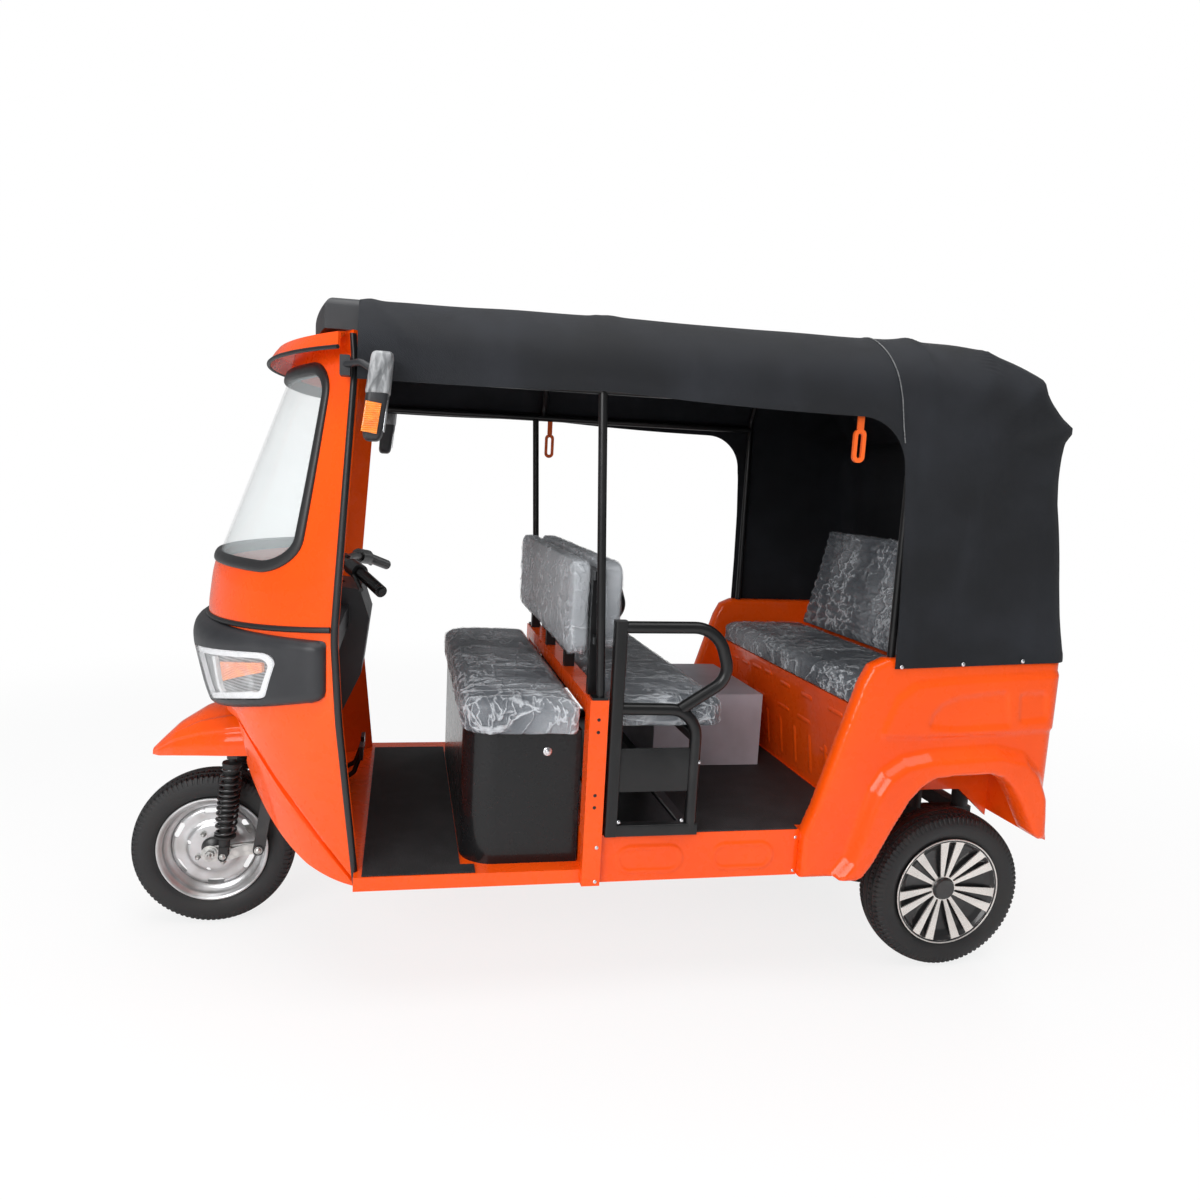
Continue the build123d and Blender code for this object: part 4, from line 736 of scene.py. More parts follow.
SILL_OVALS, OVAL_LOW, OVAL_HIGH = ((0.045, 0.236), (0.318, 0.503)), 0.372, 0.452
sill_corners = np.array([
    (SILL_FRONT, SILL_LOW), (SILL_REAR, SILL_LOW), (SILL_REAR, SILL_HIGH), (SILL_FRONT, SILL_HIGH),
])
sill_loop = np.vstack([
    np.linspace(a, b, n, endpoint=False)
    for a, b, n in zip(sill_corners, np.roll(sill_corners, -1, 0), (70, 16, 70, 16))
])


def on_sill(points, depth):
    """The sill's skin just proud of the floor pan: an eased bead round each oval less an eased hollow inside
    it."""
    inside = [-oval_gap(points, a, b, OVAL_LOW, OVAL_HIGH) for a, b in SILL_OVALS]
    rise = 0.0012 + sum(0.0030 * ease(d, -0.004, 0.004) - 0.0024 * ease(d, 0.008, 0.016) for d in inside)
    return np.stack([points[:, 0], -SILL_Y - rise + depth * 0.5, points[:, 1]], 1)


def to_side(part, side):
    """A part's points and faces as they are for side 1, or mirrored across the vehicle for side -1."""
    points, faces = part
    return points * (1, side, 1), faces if side > 0 else [f[:, ::-1] for f in faces]


left_sill = walled(cut_sheet([sill_loop], 0.004), on_sill, 0.001)
sills = gathered("sill_skins", [left_sill, to_side(left_sill, -1)], "body", orange, 50)

# ------------------------------------------------------------------ cab skin
# One bowed pressing of painted steel round the driver's front: nose, windscreen frame and both sides down to
# the front wheel's opening.
CAB = np.array([
    (0.200, -0.921, -0.618, 0.526), (0.330, -0.960, -0.645, 0.535), (0.600, -1.030, -0.672, 0.552),
    (0.800, -1.088, -0.692, 0.562), (1.020, -1.112, -0.705, 0.566), (1.150, -1.095, -0.697, 0.565),
    (1.690, -0.885, -0.665, 0.552), (1.770, -0.862, -0.672, 0.545), (1.900, -0.824, -0.683, 0.534),
])
HALF = 0.75  # round-the-cab coordinate of the right door edge


def section(z):
    """Nose, rear edge and half width at each height: the table's lines, their corners rounded over 7 cm."""
    offsets = np.linspace(-0.035, 0.035, 9)
    return [np.mean([np.interp(z + d, CAB[:, 0], CAB[:, k]) for d in offsets], 0) for k in (1, 2, 3)]


def bow(z):
    """Radius of the plan circle through nose and rear edges, its nose and the angle of its rear edge."""
    nose, back, half = section(z)
    deep = back - nose
    radius = (half**2 + deep**2) / (2 * deep)
    return radius, nose, np.arccos(1 - deep / radius)


def on_cab(points, depth):
    """The cab's outer face: the first coordinate runs round it from the left door (-0.75) to the right one
    (0.75), the second is the height. Depth is measured inwards, square to the face."""
    def face(a, z):
        """The point at that share of the plan circle's angle."""
        radius, nose, limit = bow(z)
        turn = a / HALF * limit
        return np.stack([nose + radius * (1 - np.cos(turn)), radius * np.sin(turn), z], -1)
    a, z, step = points[:, 0], points[:, 1], 1e-4
    here = face(a, z)
    normal = np.cross(face(a + step, z) - face(a - step, z), face(a, z + step) - face(a, z - step))
    normal /= np.linalg.norm(normal, axis=1)[:, None]
    return here + normal * np.broadcast_to(depth, a.shape)[:, None]


def from_front(points):
    """Round-the-cab coordinates of (y, z) points of the front view."""
    radius, _, limit = bow(points[:, 1])
    return np.stack([np.arcsin(np.clip(points[:, 0] / radius, -1, 1)) / limit * HALF, points[:, 1]], 1)


def from_side(points, side):
    """Round-the-cab coordinates of (x, z) points of the side view."""
    radius, nose, limit = bow(points[:, 1])
    turn = np.arccos(np.clip(1 - (points[:, 0] - nose) / radius, -1, 1))
    return np.stack([side * turn / limit * HALF, points[:, 1]], 1)


def even(points, step, closed=True):
    """The same line with points at even steps."""
    if closed:
        points = np.vstack([points, points[:1]])
    length = np.concatenate([[0], np.cumsum(np.linalg.norm(np.diff(points, axis=0), axis=1))])
    count = max(3, int(length[-1] / step))
    at = np.linspace(0, length[-1], count + (not closed), endpoint=not closed)
    return np.stack([np.interp(at, length, points[:, k]) for k in range(points.shape[1])], 1)


def corner_arc(before, here, after, radius, count):
    """Points of the arc that turns a corner: its centre lies on the corner's middle line at the radius over
    the sine of half the angle, and a ray is swept from one leg to the other."""
    u, v = before - here, after - here
    u, v = u / np.linalg.norm(u), v / np.linalg.norm(v)
    half = math.acos(np.clip(u @ v, -1, 1)) / 2
    cut = radius / math.tan(half)
    centre = here + (u + v) / np.linalg.norm(u + v) * radius / math.sin(half)
    a, b = here + u * cut - centre, here + v * cut - centre
    t = np.linspace(0, 1, count)[:, None]
    ray = a * (1 - t) + b * t
    return centre + ray / np.linalg.norm(ray, axis=1)[:, None] * radius


def rounded(corners, radius, count=9):
    """A closed outline with each corner turned on an arc; radius is one number or one for each corner."""
    corners = np.array(corners, float)
    radius = np.broadcast_to(radius, len(corners))
    around = zip(np.roll(corners, 1, 0), corners, np.roll(corners, -1, 0), radius)
    return np.vstack([corner_arc(before, here, after, r, count) for before, here, after, r in around])


dress(orange, "cab_shell")
CAB_WALL, CAB_TOP, CAB_FOOT, ARCH_TOP, DOOR_X = 0.014, 1.770, 0.3455, 0.742, -0.6485
opening = np.vstack([
    [(-0.985, ARCH_TOP), (-0.968, 0.640), (-0.9655, 0.622), (-0.9700, 0.606), (-0.9695, 0.596)],
    arc((-0.966, 0.585), (-0.893, 0.457), (-0.786, 0.370), 30),
    arc((-0.786, 0.370), (-0.725, 0.352), (-0.630, 0.345), 16)[1:-1],
])
opening = opening[opening[:, 0] < DOOR_X]
left_edge, right_edge = (even(from_side(opening, side), 0.008, False) for side in (-1, 1))
outline = np.vstack([
    left_edge[::-1],
    np.stack([np.full(180, -HALF), np.linspace(CAB_FOOT, CAB_TOP, 180)], 1)[1:-1],
    np.stack([np.linspace(-HALF, HALF, 190), np.full(190, CAB_TOP)], 1),
    np.stack([np.full(180, HALF), np.linspace(CAB_TOP, CAB_FOOT, 180)], 1)[1:-1],
    right_edge[::-1],
    np.stack([np.linspace(right_edge[0, 0], left_edge[0, 0], 60), np.full(60, ARCH_TOP)], 1)[1:-1],
])


def screen_loop(inset, radius, count=14, step=0.010):
    """The windscreen's outline in round-the-cab coordinates, drawn in by an inset, its corners turned on a
    radius."""
    low, high = (0.503 - inset, 1.178 + inset), (0.476 - inset, 1.689 - inset)
    corners = [(-low[0], low[1]), low, high, (-high[0], high[1])]
    return from_front(even(rounded(corners, radius, count), step))


sheet = cut_sheet([outline, screen_loop(0, 0.075)], 0.009)
skin = gathered("cab_skin", [walled(sheet, on_cab, CAB_WALL)], "body", orange, 45)
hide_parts("cab_shell")

# ------------------------------------------------------------------ windscreen
# Laminated glass, bowed with the cab and held in one thick glazing rubber, a closed loop whose lips cover the
# edges of the steel and of the glass.
glazing, w = finish("glazing_rubber", (0.013, 0.013, 0.014), 0.42, Coat_Weight=0.2, Coat_Roughness=0.35)
feed(glazing, Roughness=0.36 + 0.2 * w.noise(40, 4), Bump=(w.noise(300, 3), 0.0003))


def on_line(name, line, profile, body, material, closed=True, sharp=60):
    """A strip along a line on the cab: profile points are (across the line, depth below the skin)."""
    step = np.roll(line, -1, 0) - np.roll(line, 1, 0) if closed else np.gradient(line, axis=0)
    step /= np.linalg.norm(step, axis=1)[:, None]
    side = np.stack([step[:, 1], -step[:, 0]], 1)
    flat = line[:, None] + profile[None, :, :1] * side[:, None]
    depth = np.broadcast_to(profile[None, :, 1], flat.shape[:2])
    grid = on_cab(flat.reshape(-1, 2), depth.ravel())
    rows, columns = flat.shape[:2]
    if closed:
        return piece(name, grid, [quads(rows, columns, True, True)], body, material, sharp)
    points, faces = capped(grid.reshape(rows, columns, 3))
    return piece(name, points, faces, body, material, sharp)


def lip(half, rise, sink, count=13):
    """A strip's rounded section: half its width, how far it stands out and how deep it sits."""
    t = np.linspace(0, np.pi, count)
    top = np.stack([half * np.cos(t), -rise * np.sin(t) ** 0.7], 1)
    return np.vstack([top, [(-half, sink), (half, sink)]])


seal = on_line(
    "glazing_seal", screen_loop(0.001, 0.076, 16), lip(0.0155, 0.009, 0.018)[::-1], "body", glazing)
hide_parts("windscreen_seal")

# The glass's pale blue-white colour, shown through a patchy alpha of 0.13 to 0.22, is a painted reflection of
# the sky.
glass_painted_sky, w = finish("windscreen_glass", (0.86, 0.93, 0.94), 0.03, IOR=1.5, Alpha=0.16, Specular_IOR_Level=0.8)
feed(glass_painted_sky, Roughness=0.03 + 0.05 * w.noise(4, 4), Alpha=w.noise(2.0, 2).part(0.3, 0.8, 0.13, 0.22))
glass_sheet = cut_sheet([screen_loop(0.006, 0.070, step=0.012)], 0.02)
screen = gathered(
    "windscreen_glass", [walled(glass_sheet, lambda p, d: on_cab(p, 0.004 + d), 0.005)], "body", glass_painted_sky, 30)
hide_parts("windscreen")

# ------------------------------------------------------------------ door beads and waist bead
# Push-on rubber beads along the cab's two door edges, and one that covers the joint round the nose. Each is a
# half-round strip that stands on the skin.
bead_rubber, w = finish("bead_rubber", (0.010, 0.010, 0.011), 0.4)
feed(bead_rubber, Roughness=0.34 + 0.2 * w.noise(50, 4), Bump=(w.noise(260, 3), 0.0003))
heights = np.linspace(0.336, 1.762, 120)
for label, side in SIDES:
    edge = np.stack([np.full(len(heights), side * (HALF - 0.006)), heights], 1)
    bead = on_line(f"door_bead_{label}", edge, lip(0.0085, 0.0065, 0.006), "body", bead_rubber, False)
around = np.linspace(-HALF + 0.016, HALF - 0.016, 150)
waist = np.stack([around, 1.008 + 0.031 * np.abs(around / HALF) ** 1.7], 1)
waist_bead = on_line("waist_bead", waist, lip(0.0075, 0.0080, 0.003), "body", bead_rubber, False)

# ------------------------------------------------------------------ lamp band
# A black moulding wraps the nose below the waist bead: thickest over the lamps, its top sloping back to the
# bead, its rear ends and lower edge rolled over to the paint.
plastic, w = finish("black_moulding", (0.020, 0.021, 0.024), 0.42)
pores = w.noise(420, 2)
feed(
    plastic,
    Base_Color=w.noise(5, 4).part(0.35, 0.8).tint((0.017, 0.018, 0.021), (0.034, 0.035, 0.039)),
    Roughness=0.36 + 0.16 * w.noise(30, 4), Bump=(pores + 0.6 * w.noise(30, 2), 0.00035),
)
BAND_END = -0.729
band_low = np.array([
    (-1.30, 0.752), (-1.085, 0.754), (-1.045, 0.762), (-1.000, 0.777), (-0.935, 0.799), (-0.850, 0.824),
    (-0.770, 0.845),
])


def band_full(x, z):
    """The band's thickness away from its edges: 28 mm, and up to 20 mm more over the lamps."""
    return 0.028 + 0.020 * ease(-x, 0.86, 1.08) * np.clip((z - 0.74) / 0.19, 0, 1)


def band_rise(a, z):
    """How far the band stands out: its full thickness times the height of a quarter circle, eased to nothing
    at its rear ends, its foot and its sloping top."""
    radius, nose, limit = bow(z)
    x = nose + radius * (1 - np.cos(a / HALF * limit))
    foot = np.interp(x, *band_low.T)
    front = ease(-x, 0.86, 1.08)
    down = np.clip(1 - (z - foot) / (0.030 - 0.012 * front), 0, 1)
    up = np.clip(1 - (1.009 - z) / (0.026 + 0.046 * front), 0, 1)
    back = np.clip(1 - (BAND_END - x) / 0.042, 0, 1)
    roll = np.clip(np.maximum(np.hypot(down, back), np.hypot(up**1.25, back)), 0, 1)
    return band_full(x, z) * np.sqrt(1 - roll**2 * 0.995)


band_side = np.vstack([
    [(BAND_END, 1.000), (-0.732, 1.006), (-0.740, 1.009)],
    np.stack([np.linspace(-0.75, -1.095, 40), np.full(40, 1.009)], 1)])
low_side = np.vstack([
    np.stack([np.linspace(-1.078, -0.775, 60), np.interp(np.linspace(-1.078, -0.775, 60), *band_low.T)], 1),
    [(-0.760, 0.848), (-0.742, 0.856), (-0.732, 0.866), (BAND_END, 0.880)],
    np.stack([np.full(12, BAND_END), np.linspace(0.892, 0.992, 12)], 1)])
half_top, half_low = from_side(band_side, -1), from_side(low_side, -1)
left = np.vstack([half_low, half_top])
right = left[::-1] * (-1, 1)
LAMP = np.array([(-0.160, 0.930), (-0.502, 0.972), (-0.464, 0.841), (-0.190, 0.775)])
LAMP_RADII = (0.020, 0.020, 0.030, 0.030)
lamp_loops = [from_front(even(rounded(LAMP * (-side, 1), LAMP_RADII, 8), 0.006)) for side in (-1, 1)]
sheet = cut_sheet([np.vstack([left, right]), *lamp_loops], 0.0065)


def on_band(points, depth):
    """The band's outer face at depth 0, and below it the cab's own face, 0.6 mm out."""
    return on_cab(points, (0 if depth else -band_rise(points[:, 0], points[:, 1])) - 0.0006)


band = gathered("lamp_band", [walled(sheet, on_band, 1.0)], "body", plastic, 50)
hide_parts("lamp_surround")

# ------------------------------------------------------------------ headlamps
# Each has a clear bowed lens over a dark box with a white rim, a bright U-shaped light guide on the inner
# side and an amber turn signal. The box's ribbed reflector is only painted highlights, stripes in its colour,
# and the amber lens has a faint painted glow.
dark_box, w = finish("lamp_box", (0.10, 0.10, 0.105), 0.28, Metallic=0.6)
# Level light and dark stripes in the box's colour are painted highlights of a ribbed reflector.
painted_rib_stripes = w.math("SINE", w.axes()[2] * 700.0 + w.noise(6, 2) * 4.0)
feed(
    dark_box, Base_Color=painted_rib_stripes.part(-0.8, 0.9).tint((0.045, 0.045, 0.05), (0.30, 0.30, 0.31)),
    Roughness=0.2 + 0.25 * w.noise(25, 3))
white_rim, w = finish("lamp_rim", (0.78, 0.78, 0.80), 0.24, Coat_Weight=0.7)
feed(white_rim, Roughness=0.2 + 0.2 * w.noise(40, 3))
guide_white, w = finish("light_guide", (0.86, 0.87, 0.88), 0.18, Coat_Weight=1.0)
feed(guide_white, Base_Color=w.noise(60, 3).part(0.3, 0.7).tint((0.88, 0.89, 0.90), (0.70, 0.71, 0.72)))
# The amber emission is a painted glow: the turn signals and the mirrors' reflectors are not lit.
amber_painted_glow, w = finish(
    "amber_lens", (0.95, 0.23, 0.010), 0.2, Coat_Weight=0.8, Emission_Color=(1.0, 0.22, 0.01, 1),
    Emission_Strength=0.18)
feed(
    amber_painted_glow, Base_Color=w.noise(50, 3).part(0.3, 0.7).tint((1.0, 0.27, 0.012), (0.80, 0.16, 0.008)),
    Bump=(w.math("SINE", w.axes()[2] * 1300.0), 0.001))
# The lens's near-white colour, shown through a patchy alpha of 0.12 to 0.34, is a painted reflection on the
# clear plastic.
lens, w = finish("clear_lens", (0.95, 0.97, 0.98), 0.05, Alpha=0.16, Specular_IOR_Level=0.9)
feed(lens, Roughness=0.03 + 0.08 * w.noise(30, 3), Alpha=w.noise(18, 4).part(0.45, 0.8, 0.12, 0.34))


def at_lamp(sink):
    """Places points of the front view under the lens by a depth from the band's face."""
    return lambda p, d: on_cab(p, -band_full(on_cab(p, 0)[:, 0], p[:, 1]) + sink + d)


def lamp_shape(points, side, radius=0.006, step=0.005):
    """A closed outline in the lamp's own front view, on one side."""
    return from_front(even(rounded(np.array(points) * (-side, 1), radius, 6), step))


INNER_RIM = [(-0.183, 0.913), (-0.484, 0.952), (-0.452, 0.858), (-0.204, 0.795)]
LAMP_GAP = np.array([(-0.003, -0.002), (0.003, -0.003), (0.002, 0.003), (-0.003, 0.003)])
GUIDE = [
    (-0.300, 0.922), (-0.316, 0.924), (-0.306, 0.838), (-0.322, 0.822), (-0.436, 0.856), (-0.438, 0.842),
    (-0.316, 0.806), (-0.290, 0.832),
]
SIGNAL = [(-0.334, 0.913), (-0.462, 0.936), (-0.459, 0.910), (-0.326, 0.856)]
for label, side in SIDES:
    rim_loop = lamp_shape(LAMP + LAMP_GAP, side, 0.022)
    inner_loop = lamp_shape(INNER_RIM, side, 0.016)
    layers = (
        ("lamp_rim", [rim_loop, inner_loop], 0.012, 0.0055, 0.012, white_rim),
        ("lamp_box", [rim_loop], 0.010, 0.020, 0.004, dark_box),
        ("light_guide", [lamp_shape(GUIDE, side, 0.0045, 0.004)], 0.012, 0.0095, 0.010, guide_white),
        ("turn_signal", [lamp_shape(SIGNAL, side, 0.004, 0.005)], 0.010, 0.0105, 0.009, amber_painted_glow),
        ("lamp_lens", [rim_loop], 0.012, -0.0012, 0.003, lens),
    )
    for name, loops, step, sink, thick, material in layers:
        cover = gathered(
            f"{name}_{label}", [walled(cut_sheet(loops, step), at_lamp(sink), thick)], "body", material, 50)
    if side < 0:
        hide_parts("headlamps")

# ------------------------------------------------------------------ visor and roof cap
# A thin orange lip over the screen, pressed from steel, with a black edging pushed on its front, and a black
# moulded cap that closes the canopy's front.
VISOR = (  # height, nose and half width of each row
    (1.7235, -0.9385, 0.5885), (1.7330, -0.9330, 0.5865), (1.7470, -0.9235, 0.5820),
    (1.7590, -0.9130, 0.5775),
)


def plan_arc(nose, half, back, count, z):
    """A level arc through a nose point and two rear corners."""
    deep = back - nose
    radius = (half**2 + deep**2) / (2 * deep)
    turn = np.linspace(-1, 1, count) * math.asin(min(1.0, half / radius))
    return np.stack([nose + radius * (1 - np.cos(turn)), radius * np.sin(turn), np.full(count, z)], 1)


VISOR_STEPS, VISOR_REAR, VISOR_WALL = 121, -0.705, 0.006
outer = [plan_arc(n, h, VISOR_REAR, VISOR_STEPS, z) for z, n, h in VISOR]
inner = [
    plan_arc(n + VISOR_WALL, h - VISOR_WALL, VISOR_REAR + 0.005, VISOR_STEPS, z - 0.003)
    for z, n, h in VISOR[::-1]
]
roof_back = plan_arc(-0.862, 0.545, -0.690, VISOR_STEPS, 1.7655)
grid = np.stack([*outer, roof_back, roof_back - (0, 0, VISOR_WALL), *inner])
points, faces = capped(np.swapaxes(grid, 0, 1))
visor = piece("sun_visor", points, [f[:, ::-1] for f in faces], "body", orange, 35)
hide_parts("cab_visor")
edge_line = plan_arc(-0.9385, 0.5885, VISOR_REAR, VISOR_STEPS, 1.7222)
bead = capped(along_path(edge_line, ring_of(0.0052, 12)))
edging = gathered("visor_edging", [bead], "body", bead_rubber, 60)
dress(plastic, "cab_roof_cap", "dashboard")

# ------------------------------------------------------------------ front mudguard
# One pressed steel guard, fixed to the cab over the wheel: a flat crown, a bright band between two creases
# down each side, and a short upright skirt.
GUARD = np.array([
    (-1.288, 0.014, 0.545, 0.5500, 0.562), (-1.262, 0.044, 0.5500, 0.5640, 0.590),
    (-1.210, 0.088, 0.564, 0.592, 0.642), (-1.130, 0.132, 0.577, 0.614, 0.694),
    (-1.050, 0.160, 0.584, 0.626, 0.718), (-0.968, 0.174, 0.588, 0.634, 0.734),
])
along = np.linspace(0, 1, 72) ** 1.15
guard_x = GUARD[0, 0] + along * (GUARD[-1, 0] - GUARD[0, 0])
half, low, crease, ridge = (np.interp(guard_x, GUARD[:, 0], GUARD[:, k]) for k in (1, 2, 3, 4))
for _ in range(3):
    half, crease, ridge = (
        np.concatenate([[v[0]], (v[:-2] + v[1:-1] * 2 + v[2:]) / 4, [v[-1]]]) for v in (half, crease, ridge))
share = np.concatenate([
    np.linspace(-1, -0.86, 12), np.linspace(-0.86, -0.62, 12)[1:], np.linspace(-0.62, 0.62, 40)[1:-1],
    np.linspace(0.62, 0.86, 12)[:-1], np.linspace(0.86, 1, 12),
])
t = np.abs(share)
bulge = 0.006 * ease(t, 0.60, 0.66) * (1 - ease(t, 0.86, 0.92)) * np.clip(half / 0.09, 0, 1)[:, None]
top_z = crease[:, None] + (ridge - crease)[:, None] * (1 - t[None, :] ** 2.1) ** 0.8
half, low, waist_z = half[:, None], low[:, None], ((low + crease) / 2)[:, None]
crown_y = half * np.sign(share)[None, :] * (t[None, :] ** 0.92) + np.sign(share) * bulge
y = np.hstack([-half, -half - 0.001, crown_y, half + 0.001, half])
z = np.hstack([low, waist_z, top_z + bulge, waist_z, low])
x = np.broadcast_to(guard_x[:, None], y.shape)
outer_grid = np.stack([x, y, z], -1)
centre_row = np.stack([guard_x, 0 * guard_x, low[:, 0]], 1)[:, None]
inward = centre_row - outer_grid
inward /= np.linalg.norm(inward, axis=-1)[..., None]
grid = np.concatenate([outer_grid, (outer_grid + inward * 0.004)[:, ::-1]], 1)
points, faces = capped(grid)
guard = piece("mudguard_steel", points, faces, "body", orange, 30)
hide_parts("front_mudguard")

# ------------------------------------------------------------------ frames and fittings
# Tubes and brackets in satin black powder coat, a gloss black seat box, a pale battery box, orange hanging
# handles and red tail lamps.
satin = weathered(
    "powder_coat_black", (0.007, 0.007, 0.0075), 0.34, ((0.006, 0.006, 0.0065), (0.013, 0.013, 0.0135)),
    cloud=(8, 4, 0.45, 0.8), sheen=(0.28, 0.14, 60, 3), grain=(480, 2, 0.0003),
    Specular_IOR_Level=0.3, Coat_Weight=0.2, Coat_Roughness=0.15)
dress(satin, "roof_frame", "backrest_frame", "handlebar", "foot_pedals")
gloss_black = paint("gloss_black", (0.007, 0.007, 0.0075), (0.011, 0.011, 0.012), 0.22, 0.3)
dress(gloss_black, "seat_box")
lilac_grey = weathered(
    "battery_box_grey", (0.52, 0.51, 0.56), 0.4, ((0.50, 0.49, 0.545), (0.40, 0.39, 0.43)),
    cloud=(6, 4, 0.35, 0.7), sheen=(0.34, 0.2, 18, 3), grain=(260, 2, 0.0003))
dress(lilac_grey, "battery_box")
handle_orange, w = finish("handle_orange", (0.90, 0.13, 0.012), 0.3)
feed(handle_orange, Roughness=0.25 + 0.2 * w.noise(60, 3), Bump=(w.noise(300, 2), 0.0003))
dress(handle_orange, "grab_handles")
red, w = finish("red_lens", (0.55, 0.012, 0.010), 0.14, Coat_Weight=0.8)
_, y, z = w.axes()
feed(
    red, Bump=(w.math("SINE", y * 900.0) * w.math("SINE", z * 900.0), 0.0008),
    Roughness=0.1 + 0.15 * w.noise(20, 2))
dress(red, "tail_lamps")

bright, w = finish("bright_screws", (0.72, 0.72, 0.74), 0.25, Metallic=1.0)
feed(bright, Roughness=0.18 + 0.2 * w.noise(90, 3))


def dome(place, normal, radius, height, count=14, stretch=(0, 0, 0)):
    """A round head on a face, or with a stretch a long pressed slot: rings of a half ellipse about the
    normal, each half moved along the stretch, closed at the top and back."""
    n = Vector(normal).normalized()
    v = Vector(stretch).normalized() if any(stretch) else n.orthogonal().normalized()
    u = n.cross(v)
    turn = np.linspace(0, 2 * np.pi, count, endpoint=False)[:, None]
    rings = np.array([(1.0, -0.3), (1.0, 0.12), (0.86, 0.5), (0.60, 0.8), (0.30, 0.96), (0.03, 1.0)])
    flat = np.cos(turn)[None] * np.array(u) + np.sin(turn)[None] * np.array(v)
    outward, upward = rings[:, :1, None] * radius, rings[:, 1:, None] * height
    points = np.array(place) + outward * flat.reshape(1, count, 3) + upward * np.array(n)
    points = points + (np.sin(turn + 1e-6) > 0)[None] * np.array(stretch) - np.array(stretch) / 2
    return points.reshape(-1, 3), [
        quads(len(rings), count, wrap_columns=True), np.arange(count)[::-1][None],
        (len(rings) - 1) * count + np.arange(count)[None]]


heads = []
for side in (-1, 1):
    for px, pz in ((0.817, 0.978), (1.005, 0.987), (1.192, 0.997)):
        heads.append(dome((px, side * 0.6195, pz - 0.012), (0, side, 0), 0.006, 0.0028))
    for px, pz in ((-0.016, 0.459), (0.568, 0.461), (-0.016, 0.362), (0.568, 0.362)):
        heads.append(dome((px, side * (0.597 if px < 0 else 0.5752), pz), (0, side, 0), 0.0055, 0.0025))
    for px, pz in ((0.258, 0.692), (0.042, 0.527), (0.22, 0.528)):
        heads.append(dome((px, side * 0.592, pz), (0, side, 0), 0.0055, 0.0025))
screws = gathered("body_screws", heads, "body", bright, 50)
lock = gathered("seat_box_lock", [
    dome((-0.148, -0.5222, 0.705), (0, -1, 0), 0.012, 0.003, 28),
    dome((-0.148, -0.5250, 0.705), (0, -1, 0), 0.007, 0.0025, 20)], "body", bright, 50)


def bends(corners, radii, step=0.006, count=16):
    """A line through corners in space, each inner corner turned on an arc, with points at even steps."""
    corners = np.array(corners, float)
    arcs = [corner_arc(*corners[k : k + 3], r, count) for k, r in enumerate(radii)]
    return even(np.vstack([corners[:1], *arcs, corners[-1:]]), step, False)


def bar(a, b, width, height, up=(0, 0, 1), radius=0.003):
    """A straight bar of a rounded rectangle from one point to another."""
    w2, h2 = width / 2, height / 2
    profile = rounded([(-w2, -h2), (w2, -h2), (w2, h2), (-w2, h2)], radius, 4)
    return capped(along_path(np.linspace(a, b, 3), profile, up))


GUARD_Y, GUARD_TUBE = 0.580, 0.0165
guard_parts = []
for side in (-1, 1):
    y = side * GUARD_Y
    arm = bends([(0.022, y, 1.060), (0.292, y, 1.062), (0.334, y, 0.925), (0.200, y, 0.838)], (0.092, 0.062))
    arch = bends([(0.022, y, 0.840), (0.248, y, 0.836), (0.248, y, 0.500)], (0.078,))
    for line in (arm, arch):
        guard_parts.append(capped(along_path(line, ring_of(GUARD_TUBE, 20), (0, 1, 0))))
    guard_parts.append(bar((0.022, y, 0.487), (0.022, y, 1.078), 0.034, 0.034, (0, 1, 0), 0.006))
    guard_parts.append(bar((0.006, y, 0.502), (0.265, y, 0.502), 0.030, 0.032))
    guard_parts.append(bar((0.022, y, 0.669), (0.248, y, 0.669), 0.010, 0.122))
    guard_parts.append(
        bar((0.140, y - side * 0.14, 0.600), (0.232, y - side * 0.02, 0.496), 0.016, 0.005, (1, 0, 0)))
for x in (0.022, 0.248):
    guard_parts.append(bar((x, -GUARD_Y, 0.760), (x, GUARD_Y, 0.760), 0.026, 0.026))
guard_parts.append(bar((0.150, -0.555, 0.4912), (0.150, 0.555, 0.4912), 0.235, 0.002, (0, 0, 1), 0.0008))
guard = gathered("seat_guards", guard_parts, "body", satin, 45)
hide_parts("middle_seat_frame")

# slots and domes pressed in the rear seat's front, and plugged holes in the door posts


def seat_front(z):
    """How far back the rear seat's sloping front is at a height."""
    return 0.745 + 0.045 * (0.826 - z) / 0.341


SEAT_SLOTS = (
    (0.417, 0.778, 0.075), (0.299, 0.780, 0.060), (0.190, 0.787, 0.060), (0.087, 0.789, 0.050),
    (-0.401, 0.779, 0.075), (0.494, 0.695, 0.070), (0.326, 0.695, 0.080), (0.167, 0.693, 0.080),
    (-0.028, 0.693, 0.080), (-0.184, 0.693, 0.080), (-0.337, 0.628, 0.080), (-0.05, 0.778, 0.060),
    (-0.21, 0.778, 0.060),
)
facing = (-1, 0, -0.13)
pressed = [
    dome((seat_front(z), y, z), facing, 0.0085, 0.0035, 20, (0, length, 0)) for y, z, length in SEAT_SLOTS]
pressed += [
    dome((seat_front(0.585), -0.44 + 0.11 * k, 0.585), facing, 0.013, 0.0045, 20, (-0.0145, 0, 0.11))
    for k in range(9)
]
slots = gathered("rear_seat_pressings", pressed, "body", orange, 60)
PLUG_Z = (0.814, 0.780, 0.606, 0.572)
plugs = [dome((-0.028, side * 0.5972, z), (0, side, 0), 0.0048, 0.0008) for side in (-1, 1) for z in PLUG_Z]
plugs = gathered("post_plugs", plugs, "body", satin, 50)

# ------------------------------------------------------------------ mirrors
# Two door mirrors: deep black shells on bent stalks, the upper part of each still in a grey protective film,
# with an amber reflector below it and glass to the rear. The film's light and dark ripples are partly painted
# sheen, and the reflector has the amber lens's painted glow.


